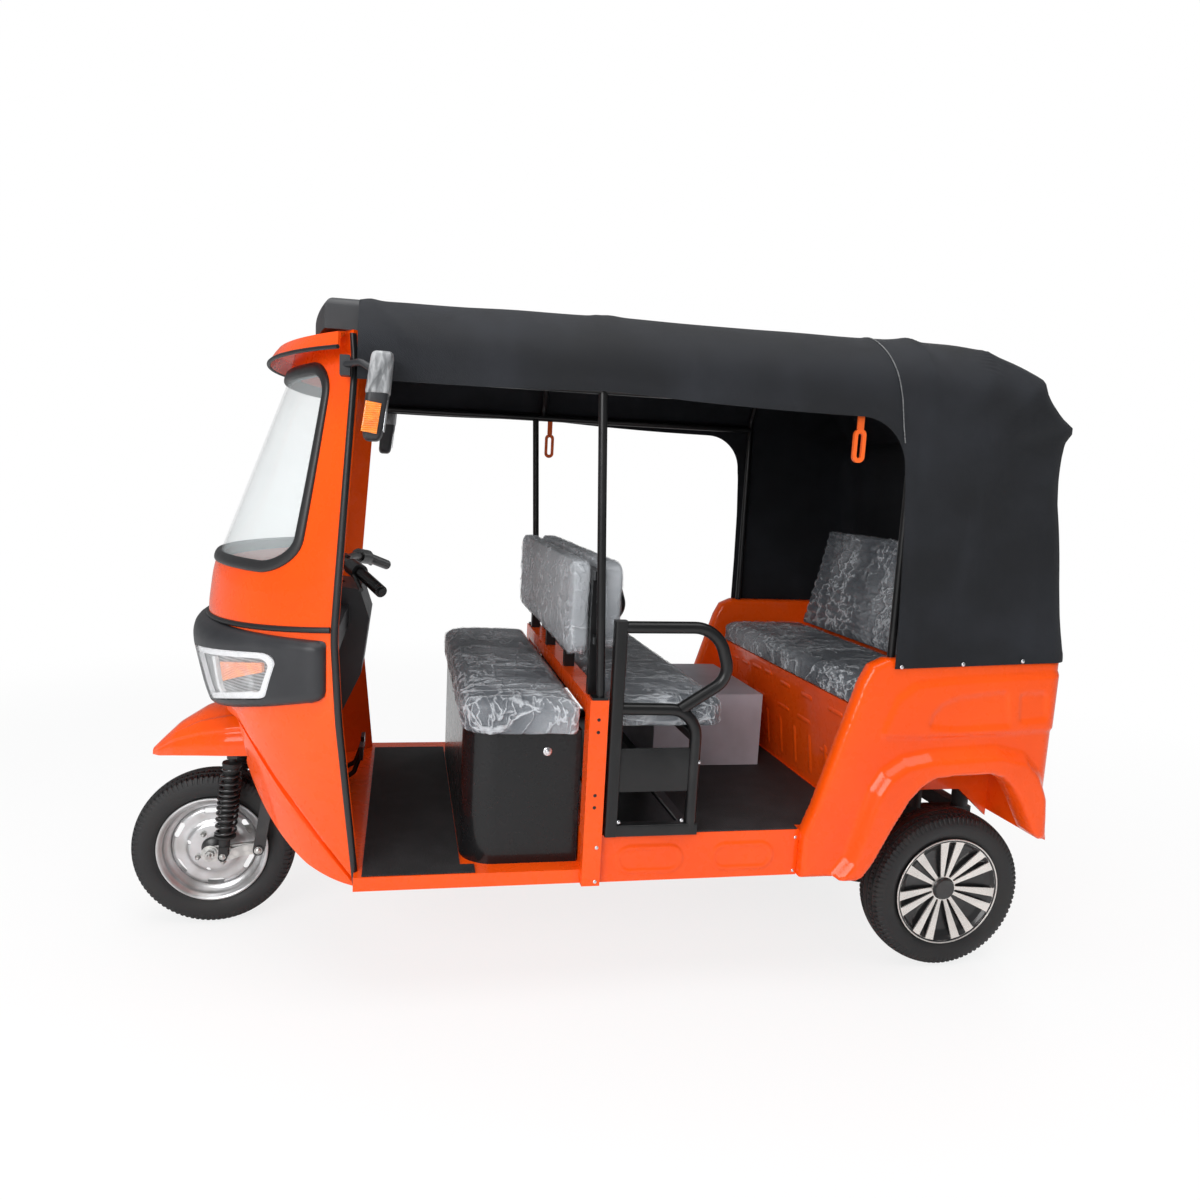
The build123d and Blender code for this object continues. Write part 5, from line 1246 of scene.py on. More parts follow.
def rounded_box(rows, power=5.0, count=44):
    """A closed body of level rows (z, middle x, middle y, half x, half y), each a rounded rectangle: the
    points where the sum of the sizes' powers is one."""
    turn = np.linspace(0, 2 * np.pi, count, endpoint=False)
    c, s = np.cos(turn), np.sin(turn)
    unit = np.stack([np.sign(c) * np.abs(c) ** (2 / power), np.sign(s) * np.abs(s) ** (2 / power)], 1)
    grid = np.stack([
        np.column_stack([mx + hx * unit[:, 0], my + hy * unit[:, 1], np.full(count, z)])
        for z, mx, my, hx, hy in rows
    ])
    return capped(grid[::-1])


SHELL_Z, SHELL_DEEP, SHELL_WIDE = (1.503, 1.60, 1.705), (0.021, 0.027, 0.0235), (0.046, 0.054, 0.052)


def shell_rows(low, high, grow=0.0, ends=0.016):
    """Rows of the mirror's shell between two heights, drawn in on a quarter circle at its rounded ends."""
    foot = ends * (1 - np.cos(np.linspace(0, np.pi / 2, 7)))
    out = []
    for z in np.concatenate([low + foot, np.linspace(low + ends, high - ends, 12)[1:-1], high - foot[::-1]]):
        edge = min(z - low, high - z, ends)
        inset = ends - math.sqrt(max(ends**2 - (ends - edge) ** 2, 0))
        middle = np.interp(z, (1.503, 1.705), (-0.6215, -0.5985))
        deep = np.interp(z, SHELL_Z, SHELL_DEEP) - inset * 0.7 + grow
        wide = np.interp(z, SHELL_Z, SHELL_WIDE) - inset + grow
        out.append((z, middle, 0.655, deep, wide))
    return out


film_grey, w = finish("film_grey", (0.20, 0.205, 0.215), 0.35)
# The film's own grey goes light and dark with the ripples of its bump: a painted sheen on the crinkles.
ripple_and_painted_sheen = w.noise(40, 4, stretch=(1, 1, 0.4), Distortion=1.0)
feed(
    film_grey, Base_Color=ripple_and_painted_sheen.part(0.3, 0.7).tint((0.10, 0.105, 0.11), (0.40, 0.41, 0.42)),
    Bump=(ripple_and_painted_sheen, 0.003))
mirror_glass, w = finish("mirror_glass", (0.86, 0.88, 0.90), 0.03, Metallic=1.0)
for label, side in SIDES:
    stalk = bends([(-0.686, 0.594, 1.682), (-0.650, 0.632, 1.686), (-0.612, 0.655, 1.662)], (0.03,))
    parts = [
        rounded_box(shell_rows(1.5045, 1.7035)),
        capped(along_path(stalk, ring_of(0.008, 14), (0, 0, 1))),
        bar((-0.688, 0.560, 1.680), (-0.688, 0.599, 1.680), 0.024, 0.048, (0, 0, 1), 0.003),
    ]
    shell = gathered(f"mirror_{label}", [to_side(part, side) for part in parts], "body", plastic, 45)
    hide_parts("mirrors")
    wrap = to_side(rounded_box(shell_rows(1.606, 1.7052, 0.0018, 0.012)), side)
    gathered(f"mirror_film_{label}", [wrap], "body", film_grey, 60)
    lens_box = to_side(
        bar((-0.6265, 0.7085, 1.522), (-0.6165, 0.7105, 1.590), 0.036, 0.006, (0, 1, 0), 0.002), side)
    # The reflector takes the amber lens's painted glow.
    reflector = gathered(f"mirror_reflector_{label}", [lens_box], "body", amber_painted_glow, 45)
    plate = to_side(
        bar((-0.5945, 0.655, 1.528), (-0.5765, 0.655, 1.686), 0.082, 0.003, (1, 0, 0), 0.0012), side)
    pane = gathered(f"mirror_glass_{label}", [plate], "body", mirror_glass, 45)

# ------------------------------------------------------------------ rear body sides
# Two thick moulded sides in the body's orange, each with a swelling lip round the wheel arch, a raised panel
# under the hood and two shallow recesses pressed into it.
BODY_SIDE, SIDE_WALL_T, REAR_X, REAR_CORNER_R, EDGE_R = 0.610, 0.055, 1.343, 0.048, 0.013
LIP_OUT, PANEL_OUT, RECESS_IN = 0.0335, 0.0075, 0.0050
arch_opening = np.array([
    (0.752, 0.362), (0.784, 0.410), (0.827, 0.499), (0.874, 0.584), (0.908, 0.623), (0.948, 0.647),
    (1.015, 0.654), (1.121, 0.658), (1.163, 0.646), (1.196, 0.617), (1.233, 0.561), (1.280, 0.475),
    (1.304, 0.456),
])
lip_line = np.array([
    (0.668, 0.362), (0.706, 0.410), (0.748, 0.556), (0.765, 0.611), (0.795, 0.661), (0.850, 0.699),
    (0.931, 0.715), (1.148, 0.726), (1.238, 0.705), (1.289, 0.653), (1.324, 0.582), (1.341, 0.480),
])
side_corners = [
    (REAR_X - 0.003, 0.985), (0.784, 0.985), (0.740, 0.965), (0.717, 0.920), (0.605, 0.552), (0.577, 0.480),
    (0.577, 0.352),
]
side_loop = even(
    np.vstack([side_corners, [(0.735, 0.352)], arch_opening, [(REAR_X - 0.003, 0.452)]]), 0.006, True)
lip_region = np.vstack([lip_line, [(1.42, 0.44)], arch_opening[::-1] + (0, -0.06)])
panel_region = rounded(np.array([
    (0.777, 0.762), (0.800, 0.827), (0.818, 0.876), (0.872, 0.917), (0.989, 0.931), (1.400, 0.955),
    (1.400, 0.780),
    (1.192, 0.769), (0.890, 0.757)]), 0.010, 5)
front_recess = [
    (0.917, 0.788), (0.929, 0.832), (0.956, 0.862), (1.007, 0.882), (1.090, 0.893), (1.162, 0.898),
    (1.183, 0.789), (1.007, 0.781),
]
rear_recess = [(1.196, 0.893), (1.289, 0.898), (1.299, 0.808), (1.204, 0.800)]
recesses = [rounded(front_recess, 0.012, 5), rounded(rear_recess, 0.014, 5)]


def within(points, loop):
    """Signed distance to a closed loop of the plane, positive inside."""
    a, b = loop, np.roll(loop, -1, 0)
    return reach(points, a, b) * np.where(odd_crossings(points, a, b), 1, -1)


def on_side(points, depth):
    """The right side: its outer face is the flat side plus the eased lip and panel, less the eased recesses,
    a round edge all along the loop and the quarter circle of the rear corner. At any depth it is the inner
    face."""
    x, z = points.T
    inside = np.where(odd_crossings(points, lip_region, np.roll(lip_region, -1, 0)), 1, -1)
    swell = LIP_OUT * ease(inside * reach(points, lip_line[:-1], lip_line[1:]), -0.012, 0.024)
    rise = swell + PANEL_OUT * ease(within(points, panel_region), -0.004, 0.011)
    for region in recesses:
        rise = rise - RECESS_IN * ease(within(points, region), -0.001, 0.010)
    gap = np.minimum(reach(points, side_loop, np.roll(side_loop, -1, 0)), EDGE_R)
    gap = np.where(x > REAR_X - 0.02, EDGE_R, gap)
    roll = EDGE_R - np.sqrt(np.maximum(EDGE_R**2 - (EDGE_R - gap) ** 2, 0))
    turn = np.clip((x - (REAR_X - REAR_CORNER_R)) / REAR_CORNER_R, 0, 1)
    corner = REAR_CORNER_R * (1 - np.sqrt(np.maximum(1 - turn**2, 0)))
    if depth:
        return np.stack([x, BODY_SIDE - SIDE_WALL_T + roll * (turn == 0), z], 1)
    return np.stack([x, BODY_SIDE + rise - roll - corner, z], 1)


rear_sheet = cut_sheet([side_loop], 0.0068)
for label, side in SIDES:
    points, shell = walled(rear_sheet, on_side, SIDE_WALL_T, flip=side > 0)
    panel = piece(f"rear_side_{label}", points * (1, side, 1), shell, "body", orange, 50)
    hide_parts("rear_sides")

# ------------------------------------------------------------------ seats
# Foam cushions in smooth vinyl, blown up a little as cloth, each still in the clear wrapping it was delivered
# in: a loose crinkled film, made as a thin closed bag a little outside the vinyl. Its whitish streaks along
# the creases and broad milky patches are painted highlights in the film's alpha.
vinyl_skin = dict(
    cloud=(5, 3, 0.3, 0.7), sheen=(0.36, 0.14, 30, 3), grain=(420, 2, 0.0004), pattern="Voronoi")
grey_vinyl = weathered(
    "grey_vinyl", (0.050, 0.058, 0.072), 0.42, ((0.040, 0.048, 0.061), (0.066, 0.076, 0.092)), **vinyl_skin,
    Specular_IOR_Level=0.4)
pale_vinyl = weathered(
    "pale_vinyl", (0.30, 0.315, 0.335), 0.42, ((0.27, 0.285, 0.305), (0.36, 0.375, 0.395)), **vinyl_skin)
film, w = finish("clear_film", (0.86, 0.89, 0.93), 0.13, Specular_IOR_Level=0.7)
long_fold = w.noise(13, 3, stretch=(0.30, 1, 1), Distortion=0.35)
crease = 1.0 - w.math("ABSOLUTE", (long_fold - 0.5) * 11.0)
second = 1.0 - w.math("ABSOLUTE", (w.noise(19, 3, stretch=(1, 0.35, 0.6), Distortion=0.5) - 0.5) * 12.0)
painted_crease_glints = w.math("MAXIMUM", crease.part(0.55, 1.0), second.part(0.68, 1.0) * 0.8)
# The film's white shows through its alpha as a faint veil, whitish streaks along the creases and broad milky
# patches, all painted highlights; the creases' bump is the film's real shape.
feed(
    film,
    Alpha=0.06 + 0.34 * painted_crease_glints * w.noise(4.5, 2).part(0.30, 0.60) + 0.15 * w.noise(2.6, 3).part(0.45, 0.7),
    Roughness=0.10 + 0.22 * w.noise(11, 3),
    Bump=(crease.part(0.0, 1.0) + 0.7 * second.part(0.0, 1.0) + 0.25 * w.noise(40, 3), 0.005),
)


def read(items, what, width=3, kind=np.float32):
    """One value of every item of a mesh, as rows of an array."""
    values = np.empty(len(items) * width, kind)
    items.foreach_get(what, values)
    return values.reshape(-1, width)


VOXEL, PRESSURE, CLOTH_FRAMES = 0.0066, 4.0, 20


def blown(name, node, swell):
    """A node's mesh remeshed evenly and blown up as cloth, held to a cap on how far any point may move."""
    made = bpy.data.objects.new(name, nodes[node].data.copy())
    bpy.context.scene.collection.objects.link(made)
    made.matrix_world = nodes[node].matrix_world.copy()
    made.data.transform(made.matrix_world)
    made.matrix_world = Matrix()
    even_mesh = made.modifiers.new("even", "REMESH")
    even_mesh.mode, even_mesh.voxel_size = "VOXEL", VOXEL
    bpy.context.view_layer.objects.active = made
    with bpy.context.temp_override(object=made, active_object=made, selected_objects=[made]):
        bpy.ops.object.modifier_apply(modifier="even")
    rest = read(made.data.vertices, "co")
    cloth = made.modifiers.new("cloth", "CLOTH")
    cloth.settings.quality = 4
    cloth.settings.mass = 0.35
    cloth.settings.tension_stiffness = cloth.settings.compression_stiffness = 12
    cloth.settings.bending_stiffness = 0.6
    cloth.settings.use_pressure = True
    cloth.settings.uniform_pressure_force = PRESSURE
    cloth.settings.effector_weights.gravity = 0
    cloth.collision_settings.use_self_collision = False
    cloth.point_cache.frame_start, cloth.point_cache.frame_end = 1, CLOTH_FRAMES
    for number in range(1, CLOTH_FRAMES + 1):
        bpy.context.scene.frame_set(number)
    seen = made.evaluated_get(bpy.context.evaluated_depsgraph_get())
    moved = read(seen.data.vertices, "co")
    made.modifiers.clear()
    bpy.context.scene.frame_set(1)
    shift = moved - rest
    length = np.linalg.norm(shift, axis=1, keepdims=True)
    rest = rest + shift * np.minimum(1, swell / np.maximum(length, 1e-9))
    return made, rest


CREASES = ((0.35, 62.0, 0.0048), (1.45, 85.0, 0.0038), (2.45, 120.0, 0.0027), (0.9, 190.0, 0.0015))


def wrinkles(points, seed):
    """Height of the loose film: four families of creases, each one minus the size of a sine along its own
    direction, bent by slower sines and faded in and out over the cushion."""
    x, y, z = points.T
    height = 0
    for k, (turn, pitch, size) in enumerate(CREASES):
        along = x * math.cos(turn) + y * math.sin(turn) + z * (0.8 - 0.5 * k)
        bent = along * pitch + 2.4 * np.sin(8.3 * y + seed + k)
        bent = bent + 1.9 * np.sin(13.0 * x + 6.0 * z + 2 * k + seed) + 0.9 * np.sin(31.0 * (x - y) + k)
        drift = np.sin(5.3 * y + 9.0 * x + 6.0 * z + 1.7 * k + seed)
        fade = 0.55 + 0.45 * drift * np.cos(7.9 * y - 4.0 * x + 0.6 * k)
        height = height + size * fade * (1 - np.abs(np.sin(bent))) ** 1.8
    return height


CUSHIONS = (
    ("driver_seat_pad", "driver_cushion", grey_vinyl, "vinyl", 0.010, 0.4),
    ("middle_seat_pad", "middle_cushion", grey_vinyl, "vinyl", 0.009, 1.9),
    ("bench_backrest_pads", "bench_backrests", pale_vinyl, "pale_vinyl", 0.006, 2.8),
    ("rear_seat_pad", "rear_cushion", grey_vinyl, "vinyl", 0.009, 3.6),
    ("rear_backrest_pad", "rear_backrest", grey_vinyl, "vinyl", 0.009, 4.4),
)
FILM_GAP, FILM_THICK = 0.0009, 0.0004
for name, node, vinyl, slot, swell, seed in CUSHIONS:
    pad, points = blown(name, node, swell)
    width = np.ptp(points[:, 1])
    cad = np.array([nodes[node].matrix_world @ v.co for v in nodes[node].data.vertices])
    low, high = cad.min(0), cad.max(0)
    middle, half = (low + high) / 2, (high - low) / 2
    # the upholstery's own shape: a crown, and on the rear backrest a row of ribs
    x, y, z = points.T
    if node in ("driver_cushion", "middle_cushion", "rear_cushion"):
        upper = ease(z, high[2] - 0.030, high[2] - 0.004)
        along_x = 1 - np.clip(np.abs(x - middle[0]) / half[0], 0, 1) ** 3
        along_y = 1 - np.clip(np.abs(y - middle[1]) / half[1], 0, 1) ** 6
        points = points + np.stack([0 * x, 0 * x, upper * 0.012 * (along_x * along_y - 0.45)], 1)
        points[:, 2] = np.maximum(points[:, 2], low[2] + 0.0002)
    if node == "rear_backrest":
        facing = np.clip(-(x - np.interp(z, (0.895, 1.288), (1.095, 1.190))) / 0.02, 0, 1)
        rib = np.abs(np.sin(z * math.pi / 0.034)) ** 0.6
        points[:, 0] += facing * (0.005 - 0.007 * rib) * ease(z, 0.92, 0.96)
    made = pad.data
    made.vertices.foreach_set("co", points.astype(np.float32).ravel())
    made.update()
    normal = read(made.vertices, "normal")
    made.materials.clear()
    made.materials.append(vinyl)
    made.shade_smooth()
    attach(pad, "body")
    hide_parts(node)
    # the wrapping, a closed bag a little outside the vinyl
    rise = FILM_GAP + wrinkles(points, seed)
    outer = points + normal * rise[:, None]
    if node != "bench_backrests":
        outer[:, 2] = np.where(normal[:, 2] < -0.5, points[:, 2] - 0.0001, outer[:, 2])
    faces = read(made.loops, "vertex_index", 1, np.int32).reshape(-1, 4)
    label = name.replace("pads", "pad").replace("pad", "wrapping")
    bag = np.vstack([outer, outer - normal * FILM_THICK])
    wrap = piece(label, bag, [faces, faces[:, ::-1] + len(outer)], "body", film, 80)
    surface = sum(p.area for p in wrap.data.polygons) / 2
    length = 2.30 if node == "bench_backrests" else width + 0.16
    surface / length + 0.002

# ------------------------------------------------------------------ canopy
# Black coated canvas stretched over the roof's bows and down the back, hemmed round the doors and along the
# body, with a piped seam ahead of the rear quarter.
canvas, w = finish(
    "coated_canvas", (0.012, 0.013, 0.016), 0.62, Specular_IOR_Level=0.25, Sheen_Weight=0.03,
    Sheen_Roughness=0.5)
x, y, z = w.axes()
weave = w.math("SINE", (x + z * 0.8) * 2100.0) * w.math("SINE", (y + z) * 2100.0)
cloud = w.noise(3.0, 5, stretch=(1, 1, 1.6))
streak = w.noise(9, 4, stretch=(1, 1, 0.15))
feed(
    canvas,
    Base_Color=(cloud.part(0.35, 0.75) * 0.7 + streak.part(0.5, 0.8) * 0.4).tint(
        (0.0085, 0.0095, 0.012), (0.021, 0.0235, 0.030)),
    Roughness=0.50 + 0.22 * cloud + 0.08 * w.noise(140, 3),
    Bump=(weave * 0.35 + w.noise(26, 4) * 1.3 + w.noise(300, 2) * 0.4, 0.0011),
)
SHOULDER, CROWN_L, BACK_HALF, CORNER_C, SIDE_L = 1.710, 0.66, 0.53, 0.098, 1.93
CANOPY_FRONT, CORNER_R, HEM_V, PIPING = -0.660, 0.062, 0.960, 0.0016
turn_over = np.vstack([
    arc((0.592, 1.710), (0.5445, 1.8215), (0.430, 1.8695), 60),
    arc((0.430, 1.8695), (0.0, 1.8925), (-0.430, 1.8695), 161)[1:81]])
turn_length = np.concatenate([[0], np.cumsum(np.hypot(*np.diff(turn_over, axis=0).T))])
turn_length /= turn_length[-1]
back_points = np.array([
    (0.900, 1.356), (1.003, 1.356), (1.040, 1.350), (1.112, 1.336), (1.200, 1.3225), (1.290, 1.3105),
    (1.360, 1.3005), (1.430, 1.2895), (1.500, 1.2855), (1.560, 1.2840), (1.600, 1.2895), (1.622, 1.3010),
    (1.636, 1.3095), (1.648, 1.3030), (1.675, 1.2720), (1.710, 1.2390), (1.745, 1.2160), (1.768, 1.2060),
    (1.778, 1.1960), (1.796, 1.1640), (1.828, 1.1000), (1.850, 1.0520), (1.858, 1.0350), (1.864, 1.0080),
    (1.878, 0.9420), (1.8895, 0.868), (1.8925, 0.8500),
])
DOOR_EDGE = np.array([
    (0.9580, 0.8000), (1.1400, 0.7985), (1.3300, 0.7940), (1.4700, 0.7855), (1.5110, 0.7800),
])


def around_hoop(v):
    """Height and half width of the canvas at v: up the leaning side to the shoulder, and then by its share of
    the length of the curve that turns over to the crown."""
    share = np.clip((v - SHOULDER) / CROWN_L, 0, 1)
    z = np.where(v < SHOULDER, v, np.interp(share, turn_length, turn_over[:, 1]))
    lean = 0.592 + 0.0274 * (SHOULDER - v) / 0.81
    return z, np.where(v < SHOULDER, lean, np.interp(share, turn_length, turn_over[:, 0]))


def canopy_face(c, v):
    """The canvas at rest: v climbs from the hem to the crown; c runs from the middle of the back round a
    corner and forward along the side, negative on the left. Above the shoulder both sides bend over to meet
    at the crown."""
    m = np.abs(c)
    z, half = around_hoop(v)
    back = np.interp(z, back_points[:, 0], back_points[:, 1])
    bend = np.minimum(CORNER_R, half * 0.9)
    turn = np.clip((m - BACK_HALF) / CORNER_C, 0, 1) * np.pi / 2
    y = np.where(m < BACK_HALF, m / BACK_HALF * (half - bend), half - bend + bend * np.sin(turn))
    x = back - bend + bend * np.cos(turn)
    start = BACK_HALF + CORNER_C
    x = np.where(m > start, back - bend - (m - start) / SIDE_L * (back - bend - CANOPY_FRONT), x)
    line = np.interp(x, (CANOPY_FRONT, -0.056, 0.850, 2.0), (1.850, 1.886, 1.893, 1.893)) - 0.0006
    z = line - 0.004 * np.logaddexp(0.0, (line - z) / 0.004)
    return np.stack([x, y * np.sign(c), z], -1)


def back_place(x, v):
    """The side coordinate c of a point at x, on either side."""
    z, half = around_hoop(v)
    bend = np.minimum(CORNER_R, half * 0.9)
    end = np.interp(z, back_points[:, 0], back_points[:, 1]) - bend
    return BACK_HALF + CORNER_C + (end - x) / (end - CANOPY_FRONT) * SIDE_L


front_c = BACK_HALF + CORNER_C + SIDE_L
top_v = SHOULDER + CROWN_L - 0.003
hem_c = np.linspace(0, back_place(np.array(0.7995), np.array(0.959)), 90)
hem_v = np.interp(hem_c, (0, BACK_HALF, 0.66, hem_c[-1]), (0.982, 0.982, 0.979, HEM_V))
door_v = np.linspace(0.966, 1.500, 46)
door_c = back_place(np.interp(door_v, *DOOR_EDGE.T), door_v)
arch_xz = arc((0.7805, 1.512), (0.742, 1.598), (0.655, 1.6375), 20)
hem_x = np.linspace(0.640, CANOPY_FRONT, 130)[:-1]
front_sag = 0.004 * np.sin(np.clip((hem_x + 0.62) / 0.58, 0, 1) * np.pi)
rear_sag = 0.006 * np.sin(np.clip((hem_x + 0.02) / 0.70, 0, 1) * np.pi)
sag_z = np.interp(hem_x, (-0.66, -0.05, 0.30, 0.64), (1.651, 1.660, 1.650, 1.639)) - front_sag - rear_sag
edge = np.vstack([
    np.stack([hem_c, hem_v], 1),
    np.stack([door_c, door_v], 1),
    np.stack([back_place(arch_xz[:, 0], arch_xz[:, 1]), arch_xz[:, 1]], 1),
    np.stack([back_place(hem_x, sag_z), sag_z], 1),
    np.stack([np.full(88, front_c), np.linspace(1.651, top_v, 88)], 1),
])
crown = np.stack([np.linspace(front_c, 0.0, 170)[1:-1], np.full(168, top_v)], 1)
outline = np.vstack([edge, crown, [(0.0, top_v)], crown[::-1] * (-1, 1), edge[:0:-1] * (-1, 1)])
hem_edge = edge[:-88]
seam_v = np.linspace(SHOULDER + CROWN_L - 0.01, 1.575, 90)
seam_x = np.interp(
    seam_v, (1.571, 1.606, 1.690, 1.759, 1.86, 2.36), (0.774, 0.768, 0.757, 0.741, 0.716, 0.690))
seam = np.stack([back_place(seam_x, seam_v), seam_v], 1)
BOWS = (-0.640, -0.026, 0.812)
FOLDS = (  # (x, z) of its top and of its foot, height, width
    ((1.045, 1.850), (0.985, 1.640), 0.0070, 0.026), ((1.205, 1.768), (1.020, 1.600), 0.0075, 0.028),
    ((1.300, 1.640), (1.060, 1.560), 0.0070, 0.026), ((0.830, 1.885), (0.860, 1.690), 0.0065, 0.024),
    ((1.300, 1.630), (1.160, 1.380), 0.0040, 0.030), ((-0.640, 1.850), (-0.480, 1.700), 0.0035, 0.022),
    ((-0.060, 1.870), (-0.090, 1.720), 0.0030, 0.018),
)
WAVES = (  # radians of its sine per metre of x and of z, phase, height
    (9.1, 5.3, 0.4, 0.0011), (-6.3, 11.2, 1.9, 0.0010), (17.5, -8.0, 2.6, 0.0006), (23.0, 21.0, 0.2, 0.0004),
)


def relief(points, place):
    """Outward swell of the canvas: ridges over the bows, slack between, soft folds running down from the rear
    bows, and a doubled hem with a stitched groove."""
    x, z = place[:, 0], place[:, 2]
    high = ease(points[:, 1], 1.60, 1.95)
    lift = 0.004 * sum(np.exp(-(((x - at) / 0.030) ** 2)) for at in BOWS) * high
    lift = lift - 0.0045 * high * np.sin(np.clip((x + 0.64) / 0.614, 0, 1) * np.pi) ** 2 * (x < -0.03)
    lift = lift - 0.0055 * high * np.sin(np.clip((x + 0.026) / 0.838, 0, 1) * np.pi) ** 2 * (
        (x > -0.03) & (x < 0.812))
    folds = 0
    for (x0, z0), (x1, z1), size, wide in FOLDS:
        ax, az = x1 - x0, z1 - z0
        share = ((x - x0) * ax + (z - z0) * az) / (ax * ax + az * az)
        across = ((x - x0) * az - (z - z0) * ax) / math.hypot(ax, az)
        fade = ease(share, -0.1, 0.1) * (1 - ease(share, 0.45, 1.15))
        spread = wide * (0.6 + 0.8 * np.clip(share, 0, 1))
        folds = folds + size * fade * np.exp(-((across / spread) ** 2))
    waves = sum(size * np.sin(x * fx + z * fz + phase) for fx, fz, phase, size in WAVES)
    gap = reach(np.stack([np.abs(points[:, 0]), points[:, 1]], 1), hem_edge[:-1], hem_edge[1:])
    hem = 0.0016 * (1 - ease(gap, 0.020, 0.026)) - 0.0010 * np.exp(-(((gap - 0.0165) / 0.0022) ** 2))
    return lift + folds * (np.abs(points[:, 0]) > 0.56) + waves * ease(gap, 0.0, 0.09) + hem


def on_canopy(points, depth):
    """The canvas with its relief, moved along the normal of its resting face, which is the cross product of
    the steps up and along it turned to point outwards. Depth is measured inwards; nothing passes the CAD's
    box."""
    c, v = points.T
    step = 1e-4
    here = canopy_face(c, v)
    side = np.where(c < 0, -1.0, 1.0)[:, None]
    along = (canopy_face(c + step, v) - canopy_face(c - step, v))
    up = canopy_face(c, np.minimum(v + step, top_v)) - canopy_face(c, v - step)
    normal = np.cross(up, along)
    length = np.linalg.norm(normal, axis=1)
    normal = np.where(length[:, None] > 1e-12, normal / np.maximum(length, 1e-12)[:, None], (0, 0, 1))
    inside = np.stack([np.clip(here[:, 0], CANOPY_FRONT, 0.85), 0 * c, np.full(len(c), 1.35)], 1)
    outward = here - inside
    normal *= np.where((normal * outward).sum(1) < 0, -1.0, 1.0)[:, None]
    normal[np.abs(here[:, 1]) < 1e-3, 1] = 0
    rise = relief(points, here) - 0.0012 - depth
    out = here + normal * rise[:, None]
    out[:, 2] = np.minimum(out[:, 2], 1.8928 - (depth > 0) * 0.004)
    out[:, 0] = np.clip(out[:, 0], CANOPY_FRONT, 1.3555)
    return out


sheet = cut_sheet([outline], 0.0125)
points, shell = walled(sheet, on_canopy, 0.004)
flat = sheet[0]
count = len(flat)
on_crown = flat[:, 1] > top_v - 1e-6
strip = shell[2]
shell[2] = strip[~(on_crown[strip[:, 0] % count] & on_crown[strip[:, 1] % count])]
# the two halves meet at the crown: one point serves both
at_crown = np.tile(on_crown, 2)
keys = np.round(points, 5)
keys[at_crown, 1] = 0
points[at_crown, 1] = 0
_, first, same = np.unique(keys, axis=0, return_index=True, return_inverse=True)
points, shell = points[first], [same.ravel()[f] for f in shell]
shell = [f[(f[:, 0] != f[:, 1]) & (f[:, 1] != f[:, 2]) & (f[:, 2] != f[:, 0])] for f in shell]
hood = piece("canopy_canvas", points, shell, "body", canvas, 60)
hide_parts("canopy")

# grey piping in the seam
piping_grey, w = finish("piping_grey", (0.16, 0.165, 0.17), 0.6)
feed(piping_grey, Base_Color=w.noise(220, 2).part(0.3, 0.7).tint((0.20, 0.205, 0.21), (0.07, 0.072, 0.075)))
for label, side in SIDES:
    cord = on_canopy(seam * (side, 1), -PIPING)
    pipe = gathered(
        f"canopy_piping_{label}", [capped(along_path(cord, ring_of(PIPING, 8), (1, 0, 0)))], "body",
        piping_grey, 60)

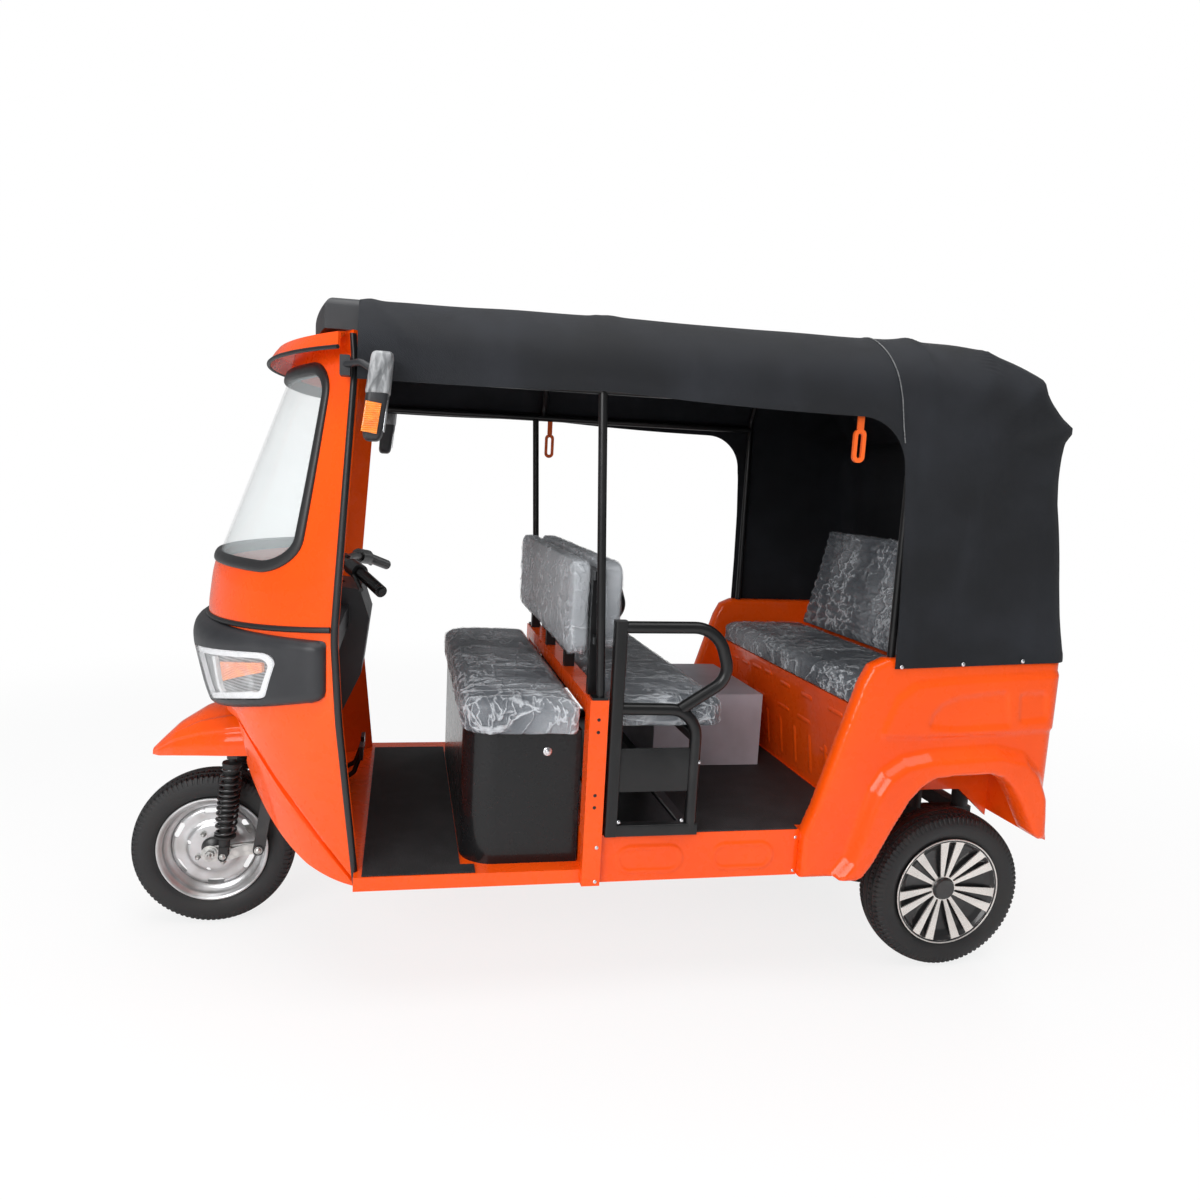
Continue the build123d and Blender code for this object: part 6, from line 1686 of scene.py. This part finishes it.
# ------------------------------------------------------------------ floor and light
# A white sweep that shines a little to the camera, so that it goes over into the white round it. Three lamps:
# a large soft box over the roof, one by the near front corner and a weak one behind.
floor_white, w = finish("studio_floor", (0.9, 0.9, 0.9), 0.9)
tree = floor_white.node_tree
place = w.node("VectorMath", {"operation": "LENGTH"}, {0: w.node("TexCoord", out="Object")}, out="Value")
shine = w.node("Emission", None, {"Color": (1, 1, 1, 1), "Strength": 1.0})
seen = w.node("LightPath")
surface = Wire(tree, tree.nodes["Principled BSDF"].outputs[0])
mixed = w.node("MixShader", None, {0: seen * place.part(2.2, 5.0, 0.80, 1.0), 1: surface, 2: shine})
tree.links.new(mixed.socket, tree.nodes["Material Output"].inputs[0])
floor_mesh = bpy.data.meshes.new("studio_floor")
FLOOR_HALF = 60
corners = [(FLOOR_HALF * x, FLOOR_HALF * y, 0) for x, y in ((-1, -1), (1, -1), (1, 1), (-1, 1))]
floor_mesh.from_pydata(corners, [], [(0, 1, 2, 3)])
floor_mesh.materials.append(floor_white)
floor = bpy.data.objects.new("studio_floor", floor_mesh)
bpy.context.scene.collection.objects.link(floor)

world = bpy.data.worlds.new("studio")
bpy.context.scene.world = world
world.use_nodes = True
tree, w = world.node_tree, Wire(world.node_tree)
sky = tree.nodes["Background"]
sky.inputs["Color"].default_value = (0.97, 0.985, 1.0, 1)
# the sky is dimmer in reflections, and plain white to the camera
dim = w.node(
    "Math", {"operation": "MULTIPLY_ADD"}, {0: w.node("LightPath", out="Is Glossy Ray"), 1: -0.22, 2: 0.46})
tree.links.new(dim.socket, sky.inputs["Strength"])
white = w.node("Background", None, {"Color": (1, 1, 1, 1), "Strength": 1.0})
seen = w.node("LightPath", out="Is Camera Ray")
mixed = w.node("MixShader", None, {0: seen, 1: Wire(tree, sky.outputs[0]), 2: white})
tree.links.new(mixed.socket, tree.nodes["World Output"].inputs[0])


def soft_box(name, place, target, size, power):
    """A rectangular lamp aimed at a point."""
    lamp = bpy.data.lights.new(name, "AREA")
    lamp.shape, lamp.size, lamp.size_y, lamp.energy = "RECTANGLE", *size, power
    made = bpy.data.objects.new(name, lamp)
    bpy.context.scene.collection.objects.link(made)
    made.location = place
    made.rotation_euler = (Vector(target) - Vector(place)).to_track_quat("-Z", "Y").to_euler()


soft_box("over", (0, -0.8, 4.6), (0, 0, 0.8), (5.0, 3.5), 150)
soft_box("near", (-3.2, -4.6, 2.9), (0, 0, 0.9), (3.4, 2.6), 190)
soft_box("rear", (3.6, 2.8, 2.6), (0, 0, 0.9), (2.6, 2.2), 40)

bpy.context.scene.view_settings.view_transform = "Standard"
